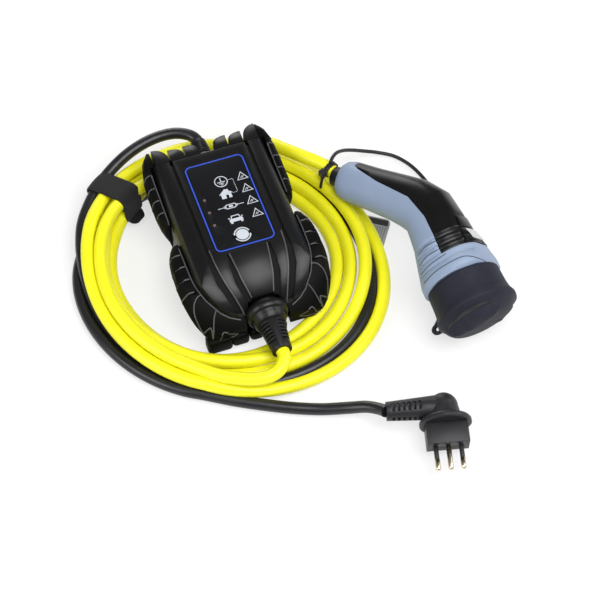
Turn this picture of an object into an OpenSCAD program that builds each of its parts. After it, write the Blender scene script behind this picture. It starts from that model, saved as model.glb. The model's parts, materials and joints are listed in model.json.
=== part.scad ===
// Portable charger for an electric car: control box, coiled charging lead with its
// vehicle connector, and a mains lead with a right-angle plug.
// Origin: on the floor under the middle of the control box. +Y runs along the box to
// the mains end, -Y to the charging lead's gland, +Z up. Millimetres.

/* [Control box] */
// Width of the cover across its ribs
cover_w = 94; // [90:1:100]
// Reach of the body from the origin to the charging lead's end
near_reach = 77; // [75:1:82]
// Reach of the body from the origin to the mains end
far_reach = 66; // [64:1:70]
// Height of the panel face above the floor
top_h = 56; // [54:1:64]
// Height of the parting line above the floor
split_h = 30; // [28:1:32]
// Room between the lead on the floor and the underside of the box
lead_room = 0.5; // [0.3:0.1:3]
// Side of a square foot
foot_w = 16; // [10:1:18]
// Wall of the two shells
wall = 3.5; // [3:0.1:4]
// Thickness of the lower shell's floor
floor_t = 2.5; // [2:0.1:4]
// Where the top starts to curve down towards the charging lead
curve_start = 30; // [26:1:36]
// Fall of the curved end below the top
curve_drop = 42; // [38:1:48]
// Depth of the long grooves in the cover
groove_depth = 2.4; // [1:0.1:2.5]
// Width of the long grooves
groove_w = 3; // [2:0.1:5]

/* [Bumpers and fins] */
// Thickness of the side bumpers outside the cover
bumper_t = 13; // [11:0.5:14]
// Height of the bumpers above the parting line
bumper_rise = 14; // [8:1:18]
// Tread blocks in one bumper
tread_count = 4; // [3:1:5]
// Length of one tread block
tread_len = 10.5; // [9:0.5:12]
// Slit between two tread blocks
tread_gap = 1; // [0.6:0.1:2]
// Depth of the slit between tread blocks
tread_slit = 2; // [1:0.1:4]
// Width of one fin at the mains end
fin_w = 12; // [10:0.5:12.5]
// How far the fins stand out past the mains end
fin_len = 17; // [12:0.5:17]
// Distance from the middle to the straight side of the first fin
fin_start = 17.5; // [16:0.5:18]

/* [Panel] */
// Width of the front panel
panel_w = 49; // [46:1:52]
// Length of the front panel
panel_len = 86; // [84:1:90]
// Middle of the panel along the box
panel_y = 10; // [9:0.5:12]
// Corner radius of the panel
panel_r = 5; // [2:0.5:8]
// Thickness of the panel film
panel_t = 0.7; // [0.4:0.1:1]
// Diameter of the start key
key_d = 14.4; // [12:0.2:16]
// Place of the start key along the box
key_y = -22; // [-23:0.5:-18]
// Travel of the start key
key_travel = 0.5; // [0.3:0.1:0.6]
// Diameter of a status lens
lens_d = 2.4; // [1.6:0.1:3]
// Distance of the status lenses from the middle
lens_x = 17.6; // [16:0.1:19]
// Place of the middle status lens along the box
lens_y = 5.6; // [4:0.1:8]
// Pitch of the status lenses
lens_pitch = 12.5; // [8:0.5:13]

/* [Glands] */
// Diameter of the charging lead's gland flange
out_gland_d = 34; // [31:0.5:36]
// Length of the charging lead's gland
out_gland_len = 13; // [11:0.5:16]
// Length of the charging lead's bend relief
out_boot_len = 25; // [18:0.5:32]
// Diameter of the mains lead's gland flange
in_gland_d = 20; // [18:0.5:21]
// Length of the mains lead's gland
in_gland_len = 12; // [10:0.5:14]
// Length of the mains lead's bend relief
in_boot_len = 14; // [12:0.5:20]

/* [Leads] */
// Diameter of the charging lead
lead_d = 10.5; // [9:0.1:11.5]
// Diameter of the mains lead
mains_d = 9.4; // [8:0.1:10]
// Diameter of the cap tether
tether_d = 3; // [2:0.1:4]
// Width of the coil strap
strap_w = 20; // [16:0.5:25]
// Thickness of the coil strap
strap_t = 1.6; // [1:0.1:2.4]

/* [Connector] */
// Length of the handle from bend to tail
grip_len = 80; // [70:1:90]
// Angle between the handle and the line of the nose
grip_angle = 41; // [30:1:50]
// Length of the nose from bend to collar face
nose_len = 68.6; // [66:0.2:74]
// Wall of the handle
handle_wall = 2.6; // [2:0.1:3]
// Outer radius of the contact shroud
shroud_r = 27.2; // [26.5:0.1:27.4]
// Wall of the contact shroud
shroud_wall = 2.4; // [2:0.1:3]
// Length of the shroud in front of the collar
shroud_len = 33; // [30:0.5:34]
// Flat of the shroud, from its axis
shroud_flat = 22; // [21:0.5:24]
// Radius of a power contact
power_r = 4; // [3.6:0.1:4.4]
// Radius of a signal contact
signal_r = 2.6; // [2.2:0.1:3]
// Wall of the dust cap
cap_wall = 1.8; // [1.4:0.1:2.2]
// Clearance between the dust cap and what it covers
cap_clear = 0.4; // [0.3:0.1:0.6]
// Length of the dust cap
cap_len = 40; // [38:0.5:42]

/* [Plug] */
// Diameter of the plug's flange
plug_flange_d = 39.4; // [36:0.2:40]
// Width of the pin block
pin_block_w = 31.6; // [28:0.2:34]
// Thickness of the pin block
pin_block_t = 16; // [14:0.2:18]
// Length of the pin block
pin_block_len = 16.5; // [14:0.5:20]
// Diameter of a pin
pin_d = 4; // [3.6:0.1:5]
// Length of the pins
pin_len = 19; // [17:0.5:21]
// Spacing from the middle pin to an outer pin
pin_pitch = 9.5; // [8:0.5:11]
// Length of the sleeve on an outer pin
sleeve_len = 10; // [7:0.5:12]

/* [Hidden] */
$fn = 48;

// Clearances
fit = 0.2;        // pieces that sit in a hole or recess
skin_gap = 0.3;   // bumper to cover, key to panel
bolt_gap = 0.05;  // screw in its pilot hole

// Colours
black_shell = [0.11, 0.11, 0.12];
black_rubber = [0.09, 0.09, 0.1];
lead_yellow = [0.95, 0.95, 0.1];
handle_grey = [0.55, 0.61, 0.71];
cap_blue = [0.17, 0.18, 0.23];
plate_grey = [0.4, 0.4, 0.38];
board_green = [0.1, 0.35, 0.2];
part_dark = [0.15, 0.15, 0.17];
steel = [0.7, 0.7, 0.72];
brass = [0.8, 0.7, 0.45];
tag_grey = [0.6, 0.6, 0.62];

// Control box
cover_hw = cover_w / 2;
bumper_hw = cover_hw + bumper_t;
inner_top = top_h - wall;
inner_hw = cover_hw - wall;
foot_h = lead_d + lead_room;           // feet that lift the box over the lead
shell_floor = foot_h + floor_t;
curve_len = 50;                       // run of the curved end
curve_steps = 12;                     // flats along the curve
// Bow of both shells: [in from the side, on from the end, outward normal]
bow = [
    [0, 50, 1, 0.02], [0.5, 35, 0.99, 0.12], [3, 24, 0.96, 0.34], [7.5, 14, 0.86, 0.55], [13, 7, 0.75, 0.72],
    [19.5, 2, 0.5, 0.9], [28, 0, 0.2, 1]
];
// Grooves that draw together at the gland: [from the middle, on from the end, share of the width]
inner_groove = [[16.5, 42, 0.4], [16.5, 31, 1.3], [15.5, 19, 1.8], [12.5, 9, 1.7], [9.5, 0, 1.2], [8.5, -6, 1]];
outer_groove = [[31, 160, 0.9], [31, 49, 0.9], [31, 35, 1.5], [29, 21, 2], [24.5, 10, 1.8], [19.5, 0, 1.4], [18.5, -6, 1.2]];
boss_r = 4.5;
boss_x = inner_hw - boss_r - 0.5;
boss_y = [far_reach - 10, 29 - near_reach];
screw_r = 1.5;
screw_head_r = 3;
screw_head_h = 2.6;
screw_len = 28;
pilot_room = 1.2;                     // pilot hole beyond the screw's tip
foot_x = 24;
foot_y = [40, 19 - near_reach];
// Bumpers: [on from the end of the box, outer side over the full width, crown over the full height]
near_bumper = [
    [71, -6, -1], [64, -3, 0], [57, -1.2, 0.5], [50, -0.4, 0.5], [35, 0, -0.5], [24, -0.8, -2.5], [14, -2.5, -6],
    [7, -4.5, -9.5], [2, -6.5, -12.5], [0, -7.5, -13.5], [-4, -11, -16.5], [-6, -15, -18.5]
];
far_bumper = [[0.3, -6.5, 6], [-8, -5, 4.5], [-20, -4.5, 2.5], [-36, -4.5, 1], [-47, -5.5, 0], [-53, -7.5, -1]];
far_lobe = [[16.5, -14.5, 3], [13, -11, 5.5], [8, -8.5, 6.5], [0.4, -6.5, 6]];
overlap = 1.5;                        // of a bumper's body with the shell, cut off again
lobe_low = 26.5;                      // over the charging lead
waist_y = [near_bumper[0][0] - near_reach, far_reach + far_bumper[5][0]];  // between the bumpers
lobe_gap = 1;                         // last fin to the bumper's lobe
// Flats on the near corners: a point, heading and rise
corner_flats = [[[46.5, -1.5, 20], -52, 25], [[55, 14, 33], -22, 35], [[36, 0, 26], -75, 48]];
plate_t = 0.8;
seal_depth = 1.4;

// Boards
post_r = 3;
post_h = 6.5;
board_z = shell_floor + post_h;
board_t = 1.6;
board_top = board_z + board_t;
board_w = 76;
board_y = [boss_y[1] + boss_r + 0.5, boss_y[0] - boss_r - 2.5];
board_len = board_y[1] - board_y[0];
post_inset = 5;                       // from the board's edges to its screws
post_x = board_w / 2 - post_inset;
post_y = [board_y[0] + post_inset, board_y[1] - post_inset];
relay_size = [18, 26, 16];
sensor_r = [7, 12];
sensor_h = 12;
transformer_size = [20, 22, 14];
flange_h = [3, 4];                    // bobbin flanges of the transformer
winding_r = 8;
capacitor_r = 5;
capacitor_h = 18;
capacitor_pitch = 12;
terminal_size = [9, 10, 12];          // one way of a terminal block
terminal_hole_r = 2.6;
terminal_hole_h = 6;
terminal_inset = 6;                   // from the board's ends to the middle of a block
chip_size = [11, 12, 1.5];
chip_inset = 1;                       // from the board's side
board_screw_r = 1.2;
board_head_r = 2.4;
board_head_h = 1.6;
board_screw_len = 6;
display_t = 1.2;
display_gap = 2.1;                    // room for the switch above the board
display_top = inner_top - display_gap;
display_w = 42;
display_len = 80;
display_post_r = 2.2;
display_post = [12, 34];              // from the panel's middle
panel_low = top_h - panel_t - 0.1;
switch_h = 0.8;
key_stem_r = 2;
key_low = display_top + switch_h + key_travel + 0.2;

// Glands
gland_z = 28;
out_neck_r = out_gland_d / 2 - 3;
in_neck_r = in_gland_d / 2 - 2.5;
out_face = near_reach + out_gland_len;
in_face = far_reach + in_gland_len;
out_end = out_face + out_boot_len;
in_end = in_face + in_boot_len;
out_boot_r = [10.5, 7.8];
in_boot_r = [7.4, 6.2];

// Coil: strands as bands of [angle, inner radius, outer radius] about the coil's middle
coil_mid = [-7.5, -22];
coil_base = [
    [-168, 82, 116], [-144, 79, 113], [-125, 76, 115], [-99, 76, 116], [-85, 70, 118], [-71, 65, 121],
    [-51, 66, 125], [-34, 71, 125], [-21, 76, 121], [-8, 78, 106], [8, 77, 105], [27, 81, 106],
    [45, 84, 112], [60, 88, 119], [80, 93, 126], [103, 98, 129], [115, 101, 133], [126, 103, 139],
    [140, 101, 136], [154, 98, 131], [168, 89, 126]
];
coil_left = [
    [112, 106, 132], [126, 108, 137], [140, 107, 133], [154, 103, 128], [171, 96, 121], [192, 92, 114],
    [214, 90, 112], [235, 88, 112], [252, 88, 112]
];
coil_top = [[115, 108, 130], [126, 109, 136], [141, 108, 131]];
coil_first = [
    [126, 109, 120], [138, 106, 117], [152, 101, 111], [170, 95, 106], [188, 92, 103], [210, 91, 101], [230, 93, 103]
];
coil_right = [
    [-62, 110, 122], [-48, 112, 125], [-34, 112, 125], [-23, 109, 121.5], [-6, 100, 116], [3, 99, 115]
];
coil_tail = [[1, 99, 115], [24, 99, 114.5], [37, 100, 115], [50, 104, 117]];
strap_angle = 126;
strap_r = 121;
strap_half = [18.5, 14.6];            // half width and half height inside the strap

// Connector placement
bend_at = [143.7, -40.1, 49.5];
nose_yaw = 4;
nose_pitch = 9.5;
nose_roll = 38;
collar_r = 30.4;
flat_x = 26.5;                        // flat top of the collar
loft_sides = 36;
groove_first = -34;                   // first groove on the neck
groove_count = 4;
groove_pitch = 7;
groove_cut = 0.9;
carrier_face = 24;                    // length of the contact towers
tail_bush_len = 8;
tail_bush_r = 8;
carrier_back = nose_len - 11;
carrier_t = 6;
tower_wall = 1.6;
// Contacts in the mating face: the signal pair on top, the power contacts round the earth
power_places = [[8.2, -8.2], [8.2, 8.2], [0, 0], [-8, -14], [-8, 14]];
signal_places = [[13.6, -15.2], [13.6, 15.2]];

// Plug placement
plug_yaw = -14;
plug_tilt = 8;
plug_reach = 43;                      // from the pins' axis to the end of the relief
flange_at = 11;
flange_t = 4;
block_face = flange_at + flange_t + pin_block_len;
pin_root_d = pin_d - 0.8;              // in the block
pin_neck_d = pin_d - 1.2;              // under a sleeve
sleeve_d = pin_d - 0.4;
pin_shoulder = 0.6;                    // full diameter starts this far from the block
plug_at = [98.5, -197.5, plug_flange_d / 2 * cos(plug_tilt) + (flange_at + flange_t) * sin(plug_tilt)];

// Routes of the leads, points chosen by hand
charging_start = [
    [0, -out_end, gland_z], [0, -out_end - 4, gland_z], [-1.5, -123, 27.6], [-7, -129, 26.6],
    [-15, -131.5, 25.4], [-25, -130, 24], [-38, -124, 22.6], [-54, -113, 21], [-70, -97.5, 19]
];
charging_end = [
    [-36, 98, 16], [-14, 100.5, 16], [8, 97.5, 16], [30, 89.5, 17.5], [53.8, 80, 21],
    [63.6, 68.6, 24], [75.8, 54.2, 26.2], [84.5, 44.8, 26.6], [90.6, 37, 26.8], [93.2, 30.6, 26.6],
    [93.2, 27, 26.3]
];
mains_start = [
    [0, in_end, gland_z + 2], [0, in_end + 3, gland_z + 2], [-4, 101, 30.6], [-14, 106.5, 30.8],
    [-27, 108.5, 29.8], [-42, 107, 28], [-58, 102, 25.4], [-72, 95, 22]
];
mains_end = [
    [-62, -120, 5], [-44, -131, 4.9], [-24, -142, 4.8], [-4, -152, 4.8], [16, -160.5, 5.4],
    [34, -168, 9.4], [46, -174.4, 14.4], [54, -182.1, 18.8], [56.8, -187, 21.5]
];
tether_path = [
    [92.4, 35.6, 33.4], [95.4, 39.8, 33.6], [101, 45.5, 30.5], [108.5, 50.2, 24.6], [117.5, 53.2, 17.4],
    [128, 54.5, 10], [140, 53, 4.6], [152, 46.5, 2.4], [161, 34, 2], [166.5, 18, 2], [169, 2, 2], [168, -16, 2],
    [163, -36, 2], [156, -56, 2], [148, -76, 2], [140, -94, 2], [132, -108, 3], [125.5, -117, 5.6], [119.6, -124, 9.4]
];

// Shared shapes

function unit(v) = v / norm(v);

function tangent(path, i) =
    unit(path[min(i + 1, len(path) - 1)] - path[max(i - 1, 0)]);

// One ring of a tube, turning the right way round about the path
function tube_ring(path, i, r, sides) =
    let (t = tangent(path, i), n = unit(cross(t, [0, 0, 1])), b = cross(t, n))
    [for (k = [0:sides - 1]) path[i] + r * (cos(360 * k / sides) * n + sin(360 * k / sides) * b)];

// Closed skin over a list of rings with the same number of points
module skin(rings) {
    count = len(rings);
    sides = len(rings[0]);
    first = [for (k = [0:sides - 1]) k];
    last = [for (k = [sides - 1:-1:0]) (count - 1) * sides + k];
    sheet = [
        for (i = [0:count - 2]) for (k = [0:sides - 1])
            let (a = i * sides + k, b = i * sides + (k + 1) % sides)
            [a, a + sides, b + sides, b]
    ];
    polyhedron([for (r = rings) each r], concat([first], sheet, [last]), convexity = 8);
}

module tube(path, d, sides) {
    skin([for (i = [0:len(path) - 1]) tube_ring(path, i, d / 2, sides)]);
}

module rounded_rect(w, l, r) {
    square([w - 2 * r, l], center = true);
    square([w, l - 2 * r], center = true);
    for (x = [-1, 1], y = [-1, 1]) translate([x * (w / 2 - r), y * (l / 2 - r)]) circle(r);
}

module along_y(from, to) {
    translate([0, to, 0]) rotate([90, 0, 0]) linear_extrude(to - from) children();
}

module mirrored_x() {
    children();
    mirror([1, 0, 0]) children();
}

// Body of the control box

// Plan of both shells: straight sides that draw in to the charging lead like a bow
function bow_side(inset) = [for (b = bow) [cover_hw - b[0] - inset * b[2], b[1] - near_reach + inset * b[3]]];

module shell_plan(inset) {
    side = concat([[cover_hw - inset, far_reach - inset]], bow_side(inset));
    polygon(concat(side, [for (i = [len(side) - 1:-1:0]) [-side[i].x, side[i].y]]));
}

// Side view: flat top that falls away in a curve at the charging lead's end
module side_profile(inset) {
    top = top_h - inset;
    curve = [
        for (i = [0:curve_steps])
            let (a = 82 * i / curve_steps)
            [-curve_start - (curve_len - inset) * sin(a), top - (curve_drop - inset) * (1 - cos(a))]
    ];
    polygon(concat(
        [[far_reach - inset, 0], [far_reach - inset, top - 5], [far_reach - inset - 4, top]],
        curve, [[-near_reach - 10, top - curve_drop + 4], [-near_reach - 10, 0]]));
}

// End view: shoulders that round over to the top
module end_profile(inset) {
    hw = cover_hw - inset;
    top = top_h - inset;
    polygon([
        [-hw, 0], [hw, 0], [hw, top - 15], [hw - 1.2, top - 10], [hw - 4, top - 5.2], [hw - 8, top - 2.2],
        [hw - 13, top - 0.6], [hw - 18, top], [18 - hw, top], [13 - hw, top - 0.6], [8 - hw, top - 2.2],
        [4 - hw, top - 5.2], [1.2 - hw, top - 10], [-hw, top - 15]
    ]);
}

module cover_body(inset, low) {
    intersection() {
        translate([0, 0, low]) linear_extrude(top_h) shell_plan(inset);
        rotate([90, 0, 90]) linear_extrude(2 * cover_w, center = true) side_profile(inset);
        rotate([90, 0, 0]) linear_extrude(6 * near_reach, center = true) end_profile(inset);
    }
}

// Plan of the long grooves: straight beside the panel, then drawn together at the gland
module groove_plan() {
    for (g = [inner_groove, outer_groove]) mirrored_x() polygon(concat(
        [for (p = g) [p[0] - groove_w * p[2] / 2, p[1] - near_reach]],
        [for (i = [len(g) - 1:-1:0]) [g[i][0] + groove_w * g[i][2] / 2, g[i][1] - near_reach]]));
}

module gland_holes() {
    translate([0, 0, gland_z]) along_y(-near_reach - 20, wall + 4 - near_reach) circle(out_neck_r + fit);
    translate([0, 0, gland_z + 2]) along_y(far_reach - wall - 4, far_reach + 20) circle(in_neck_r + fit);
}

// Fins at the mains end: round inside, straight outside, the first ones over the mains gland
module fins() {
    for (i = [0:2]) mirrored_x() {
        low = i == 0 ? gland_z + 2 + in_gland_d / 2 + 1 : split_h;
        translate([fin_start + i * (fin_w + 0.5), far_reach - 1, low]) linear_extrude(top_h - 3 - low) intersection() {
            scale([fin_w, fin_len + 1]) circle(1, $fn = 64);
            translate([-fin_w, 0]) square([fin_w, fin_len + 1]);
        }
    }
}

module lower_shell() color(black_shell) difference() {
    union() {
        difference() {
            translate([0, 0, foot_h]) linear_extrude(split_h - foot_h) shell_plan(0);
            translate([0, 0, shell_floor]) linear_extrude(top_h) shell_plan(wall);
        }
        for (x = [-1, 1], y = boss_y)
            translate([x * boss_x, y, foot_h]) cylinder(r = boss_r, h = split_h - foot_h);
        for (x = [-1, 1], y = post_y)
            translate([x * post_x, y, foot_h]) cylinder(r = post_r, h = board_z - foot_h);
        for (x = [-1, 1], y = foot_y)
            translate([x * foot_x - foot_w / 2, y - foot_w / 2, 0]) cube([foot_w, foot_w, foot_h + 1]);
    }
    gland_holes();
    translate([0, 0, split_h - seal_depth]) linear_extrude(seal_depth + 1) seal_plan(fit / 2);
    for (x = [-1, 1], y = boss_y) translate([x * boss_x, y, foot_h]) {
        translate([0, 0, -1]) cylinder(r = screw_r + fit, h = split_h);
        translate([0, 0, -1]) cylinder(r = screw_head_r + fit, h = screw_head_h + 1.2);
    }
    for (x = [-1, 1], y = post_y) translate([x * post_x, y, shell_floor])
        cylinder(r = board_screw_r + bolt_gap, h = post_h + 1);
}

// Side of the cover, a distance on from the charging lead's end
function cover_side(on) = cover_hw - lookup(on, [for (b = bow) [b[1], b[0]]]);

// One ring of a bumper: it bulges outwards and leans on the cover
function bumper_ring(y, inner, low, out, crown) =
    let (outer = bumper_hw + out, top = split_h + bumper_rise + crown, rise = top - low)
    [
        [inner, y, low], [max(outer - 8, inner + 1.5), y, low], [max(outer - 3.5, inner + 2), y, low + 0.3 * rise],
        [max(outer - 1, inner + 2.5), y, low + 0.55 * rise], [max(outer, inner + 3), y, low + 0.75 * rise],
        [max(outer - 1.6, inner + 2.6), y, low + 0.92 * rise], [max(outer - 4.5, inner + 1.8), y, top], [inner, y, top - 0.5]
    ];

module near_bumper_body() {
    skin([for (s = near_bumper) bumper_ring(s[0] - near_reach, cover_side(s[0]) - overlap, foot_h + 1, s[1], s[2])]);
}

module far_bumper_body() {
    lobe = fin_start + 2 * (fin_w + 0.5) + lobe_gap;
    skin(concat(
        [for (s = far_lobe) bumper_ring(far_reach + s[0], lobe, lobe_low, s[1], s[2])],
        [for (s = far_bumper) bumper_ring(far_reach + s[0], cover_hw - overlap, foot_h + 1, s[1], s[2])]));
}

// Slit between two tread blocks, over the side and the crown of a bumper
module tread_slit_at(stations, on) {
    outer = bumper_hw + lookup(on, [for (s = stations) [s[0], s[1]]]) - tread_slit;
    top = split_h + bumper_rise + lookup(on, [for (s = stations) [s[0], s[2]]]) - tread_slit;
    translate([outer, on - tread_gap / 2, 0]) cube([2 * bumper_t, tread_gap, top_h]);
    translate([cover_hw / 2, on - tread_gap / 2, top]) cube([cover_hw, tread_gap, top_h]);
}

module tread_slits() {
    pitch = tread_len + tread_gap;
    for (i = [1:tread_count]) {
        translate([0, -near_reach, 0]) tread_slit_at(near_bumper, near_bumper[0][0] - i * pitch);
        translate([0, far_reach, 0]) tread_slit_at(far_bumper, far_bumper[len(far_bumper) - 1][0] + i * pitch);
    }
}

module corner_flat(f) {
    translate([f[0].x, f[0].y - near_reach, f[0].z]) rotate([0, -f[2], f[1]]) translate([0, -50, -50]) cube(100);
}

module side_bumpers() color(black_shell) mirrored_x() difference() {
    union() {
        near_bumper_body();
        far_bumper_body();
    }
    tread_slits();
    for (f = corner_flats) corner_flat(f);
    translate([0, 0, foot_h]) linear_extrude(top_h) shell_plan(0);
    translate([0, 0, split_h - skin_gap]) linear_extrude(top_h) shell_plan(-skin_gap);
}

module upper_cover() color(black_shell) difference() {
    union() {
        difference() {
            cover_body(0, split_h);
            cover_body(wall, split_h - 1);
            difference() {
                translate([0, 0, split_h - 1]) linear_extrude(top_h) groove_plan();
                cover_body(groove_depth, 0);
            }
        }
        fins();
        intersection() {
            cover_body(1, split_h);
            for (x = [-1, 1], y = boss_y)
                translate([x * boss_x, y, split_h]) cylinder(r = boss_r, h = top_h);
        }
        for (x = [-1, 1], y = [-1, 1])
            translate([x * display_post[0], panel_y + y * display_post[1], display_top])
                cylinder(r = display_post_r, h = display_gap + 1);
    }
    gland_holes();
    translate([0, panel_y, panel_low]) linear_extrude(5)
        rounded_rect(panel_w + 2 * fit, panel_len + 2 * fit, panel_r + fit);
    translate([0, key_y, inner_top - 1]) cylinder(r = key_d / 2 + skin_gap, h = wall + 2);
    lens_places() translate([0, 0, inner_top - 1]) cylinder(r = lens_d / 2 + fit / 2, h = wall + 2);
    for (x = [-1, 1], y = boss_y) translate([x * boss_x, y, split_h - 1])
        cylinder(r = screw_r + bolt_gap, h = foot_h + screw_len + pilot_room - split_h + 1);
    mirrored_x() side_plate(fit / 2, fit);
}

module seal_plan(grow) {
    difference() {
        shell_plan(1 - grow);
        shell_plan(2.4 + grow);
    }
}

module housing_seal() color(black_rubber) difference() {
    translate([0, 0, split_h - seal_depth]) linear_extrude(seal_depth) seal_plan(0);
    gland_holes();
}

module housing_screws() color(steel) {
    for (x = [-1, 1], y = boss_y) translate([x * boss_x, y, foot_h + 0.2]) difference() {
        union() {
            cylinder(r = screw_head_r, h = screw_head_h);
            cylinder(r = screw_r, h = screw_len);
        }
        translate([0, 0, -1]) cylinder(r = 1.2, h = 2.4, $fn = 6);
    }
}

// Flat plate let into the cover's side between the bumpers
module side_plate(grow, deep) {
    middle = (waist_y[0] + waist_y[1]) / 2;
    long = waist_y[1] - waist_y[0] - 3;
    high = bumper_rise - 4;
    translate([cover_hw - plate_t - deep / 2, middle - long / 2 - grow, split_h + 1.5 - grow])
        cube([plate_t + deep, long + 2 * grow, high + 2 * grow]);
}

module side_plates() color(plate_grey) mirrored_x() side_plate(0, 0);

module lens_places() {
    for (i = [-1:1]) translate([-lens_x, lens_y + i * lens_pitch, 0]) children();
}

module panel_overlay() color(black_shell) difference() {
    translate([0, panel_y, panel_low]) linear_extrude(panel_t) rounded_rect(panel_w, panel_len, panel_r);
    translate([0, key_y, panel_low - 1]) cylinder(r = key_d / 2 + skin_gap, h = panel_t + 2);
    lens_places() translate([0, 0, panel_low - 1]) cylinder(r = lens_d / 2 + fit / 2, h = panel_t + 2);
}

module start_key() color(black_shell) translate([0, key_y, 0]) {
    translate([0, 0, inner_top]) cylinder(d = key_d, h = top_h - inner_top + 0.2);
    translate([0, 0, key_low]) cylinder(r = key_stem_r, h = inner_top - key_low + 0.5);
}

module status_lenses() color([0.75, 0.6, 0.55]) lens_places()
    translate([0, 0, display_top]) cylinder(d = lens_d, h = panel_low + panel_t - display_top);

module display_board() color(board_green)
    translate([-display_w / 2, panel_y - display_len / 2, display_top - display_t])
        cube([display_w, display_len, display_t]);

module key_switch() color(part_dark)
    translate([-3, key_y - 3, display_top]) cube([6, 6, switch_h]);

module control_board() color(board_green) difference() {
    translate([-board_w / 2, board_y[0], board_z]) cube([board_w, board_y[1] - board_y[0], board_t]);
    for (x = [-1, 1], y = post_y)
        translate([x * post_x, y, board_z - 1]) cylinder(r = board_screw_r + fit, h = board_t + 2);
}

module board_screws() color(steel) for (x = [-1, 1], y = post_y) translate([x * post_x, y, 0]) {
    translate([0, 0, board_top]) cylinder(r = board_head_r, h = board_head_h);
    translate([0, 0, board_top - board_screw_len]) cylinder(r = board_screw_r, h = board_screw_len + board_head_h / 2);
}

// A block that stands on the main board
module on_board(x, y, size) {
    translate([x - size[0] / 2, y - size[1] / 2, board_top]) cube(size);
}

// Place along the board, as a share of its length from the charging lead's end
function board_at(share) = board_y[0] + share * board_len;

module power_relays() color(part_dark) for (x = [-0.171, 0.171]) on_board(x * board_w, board_at(0.7), relay_size);

module residual_current_sensor() color(part_dark) translate([0, board_at(0.32), board_top]) difference() {
    cylinder(r = sensor_r[1], h = sensor_h);
    translate([0, 0, -1]) cylinder(r = sensor_r[0], h = sensor_h + 2);
}

module supply_transformer() color([0.5, 0.4, 0.2]) {
    x = -0.345 * board_w;
    y = board_at(0.36);
    w = transformer_size.x;
    l = transformer_size.y;
    upper = transformer_size.z - flange_h[1];
    on_board(x, y, [w, l, flange_h[0]]);
    translate([x, y, board_top + flange_h[0] / 2]) cylinder(r = winding_r, h = upper);
    translate([0, 0, upper]) on_board(x, y, [w, l, flange_h[1]]);
}

module filter_capacitors() color([0.25, 0.3, 0.5]) for (i = [-1:1])
    translate([0.345 * board_w, board_at(0.38) + capacitor_pitch * i, board_top]) cylinder(r = capacitor_r, h = capacitor_h);

// Screw terminal block with one cage for each core
module terminals(y, ways) {
    pitch = terminal_size.x;
    difference() {
        on_board(0, y, [ways * pitch, terminal_size.y, terminal_size.z]);
        for (i = [0:ways - 1]) translate([(i - (ways - 1) / 2) * pitch, y, board_top + terminal_hole_h])
            cylinder(r = terminal_hole_r, h = terminal_size.z);
    }
}

module input_terminals() color([0.3, 0.5, 0.35]) terminals(board_y[1] - terminal_inset, 3);

module output_terminals() color([0.3, 0.5, 0.35]) terminals(board_y[0] + terminal_inset, 5);

module processor_chip() color(part_dark) on_board(chip_inset + chip_size.x / 2 - board_w / 2, board_at(0.68), chip_size);

// Glands and bend reliefs, drawn along -Y from the wall they sit on

module gland(flange_r, neck_r, length, depth, hole_r) {
    rotate([90, 0, 0]) difference() {
        rotate_extrude() polygon([
            [0, -depth], [neck_r, -depth], [neck_r, 0], [flange_r, 0], [flange_r, length * 0.3],
            [flange_r - 1.2, length * 0.45], [flange_r - 2.6, length * 0.5],
            [flange_r * 0.8, length * 0.75], [flange_r * 0.68, length], [0, length]
        ]);
        translate([0, 0, length / 2]) cylinder(r = hole_r, h = length);
    }
}

module bend_relief(root_r, tip_r, length, spigot_r, spigot, slots) {
    pitch = length * 0.72 / slots;
    rotate([90, 0, 0]) difference() {
        union() {
            cylinder(r1 = root_r, r2 = tip_r, h = length);
            translate([0, 0, -spigot]) cylinder(r = spigot_r, h = spigot + 1);
        }
        for (i = [0:slots - 1], a = [0:90:270]) translate([0, 0, (i + 0.7) * pitch])
            rotate([0, 0, a + 45]) translate([tip_r - 1.4, -4, 0]) cube([6, 8, pitch * 0.45]);
    }
}

module output_gland() color(black_shell) translate([0, -near_reach, gland_z])
    gland(out_gland_d / 2, out_neck_r, out_gland_len, wall, out_boot_r[1] - 0.5 + fit);

module output_boot() color(black_rubber) translate([0, -out_face, gland_z])
    bend_relief(out_boot_r[0], out_boot_r[1], out_boot_len, out_boot_r[1] - 0.5, out_gland_len / 2 - fit, 6);

module input_gland() color(black_shell) translate([0, far_reach, gland_z + 2]) rotate([0, 0, 180])
    gland(in_gland_d / 2, in_neck_r, in_gland_len, wall, in_boot_r[1] - 0.5 + fit);

module input_boot() color(black_rubber) translate([0, in_face, gland_z + 2]) rotate([0, 0, 180])
    bend_relief(in_boot_r[0], in_boot_r[1], in_boot_len, in_boot_r[1] - 0.5, in_gland_len / 2 - fit, 5);

// Leads

module charging_lead_start() color(lead_yellow) tube(charging_start, lead_d, 10);

module charging_lead_end() color(lead_yellow) tube(charging_end, lead_d, 10);

module mains_lead_start() color(black_rubber) tube(mains_start, mains_d, 10);

module mains_lead_end() color(black_rubber) tube(mains_end, mains_d, 10);

function band_side(band, k) = [for (b = band) b[k] * [cos(b[0]), sin(b[0])]];

// Part of the coil, over one band of strands
module strands(band, low, high) {
    inner = band_side(band, 1);
    translate([coil_mid.x, coil_mid.y, low]) linear_extrude(high - low)
        polygon(concat(band_side(band, 2), [for (i = [len(inner) - 1:-1:0]) inner[i]]));
}

module at_strap() {
    translate([coil_mid.x, coil_mid.y, 0]) rotate([0, 0, strap_angle - 90]) translate([0, strap_r, 0]) children();
}

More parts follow.
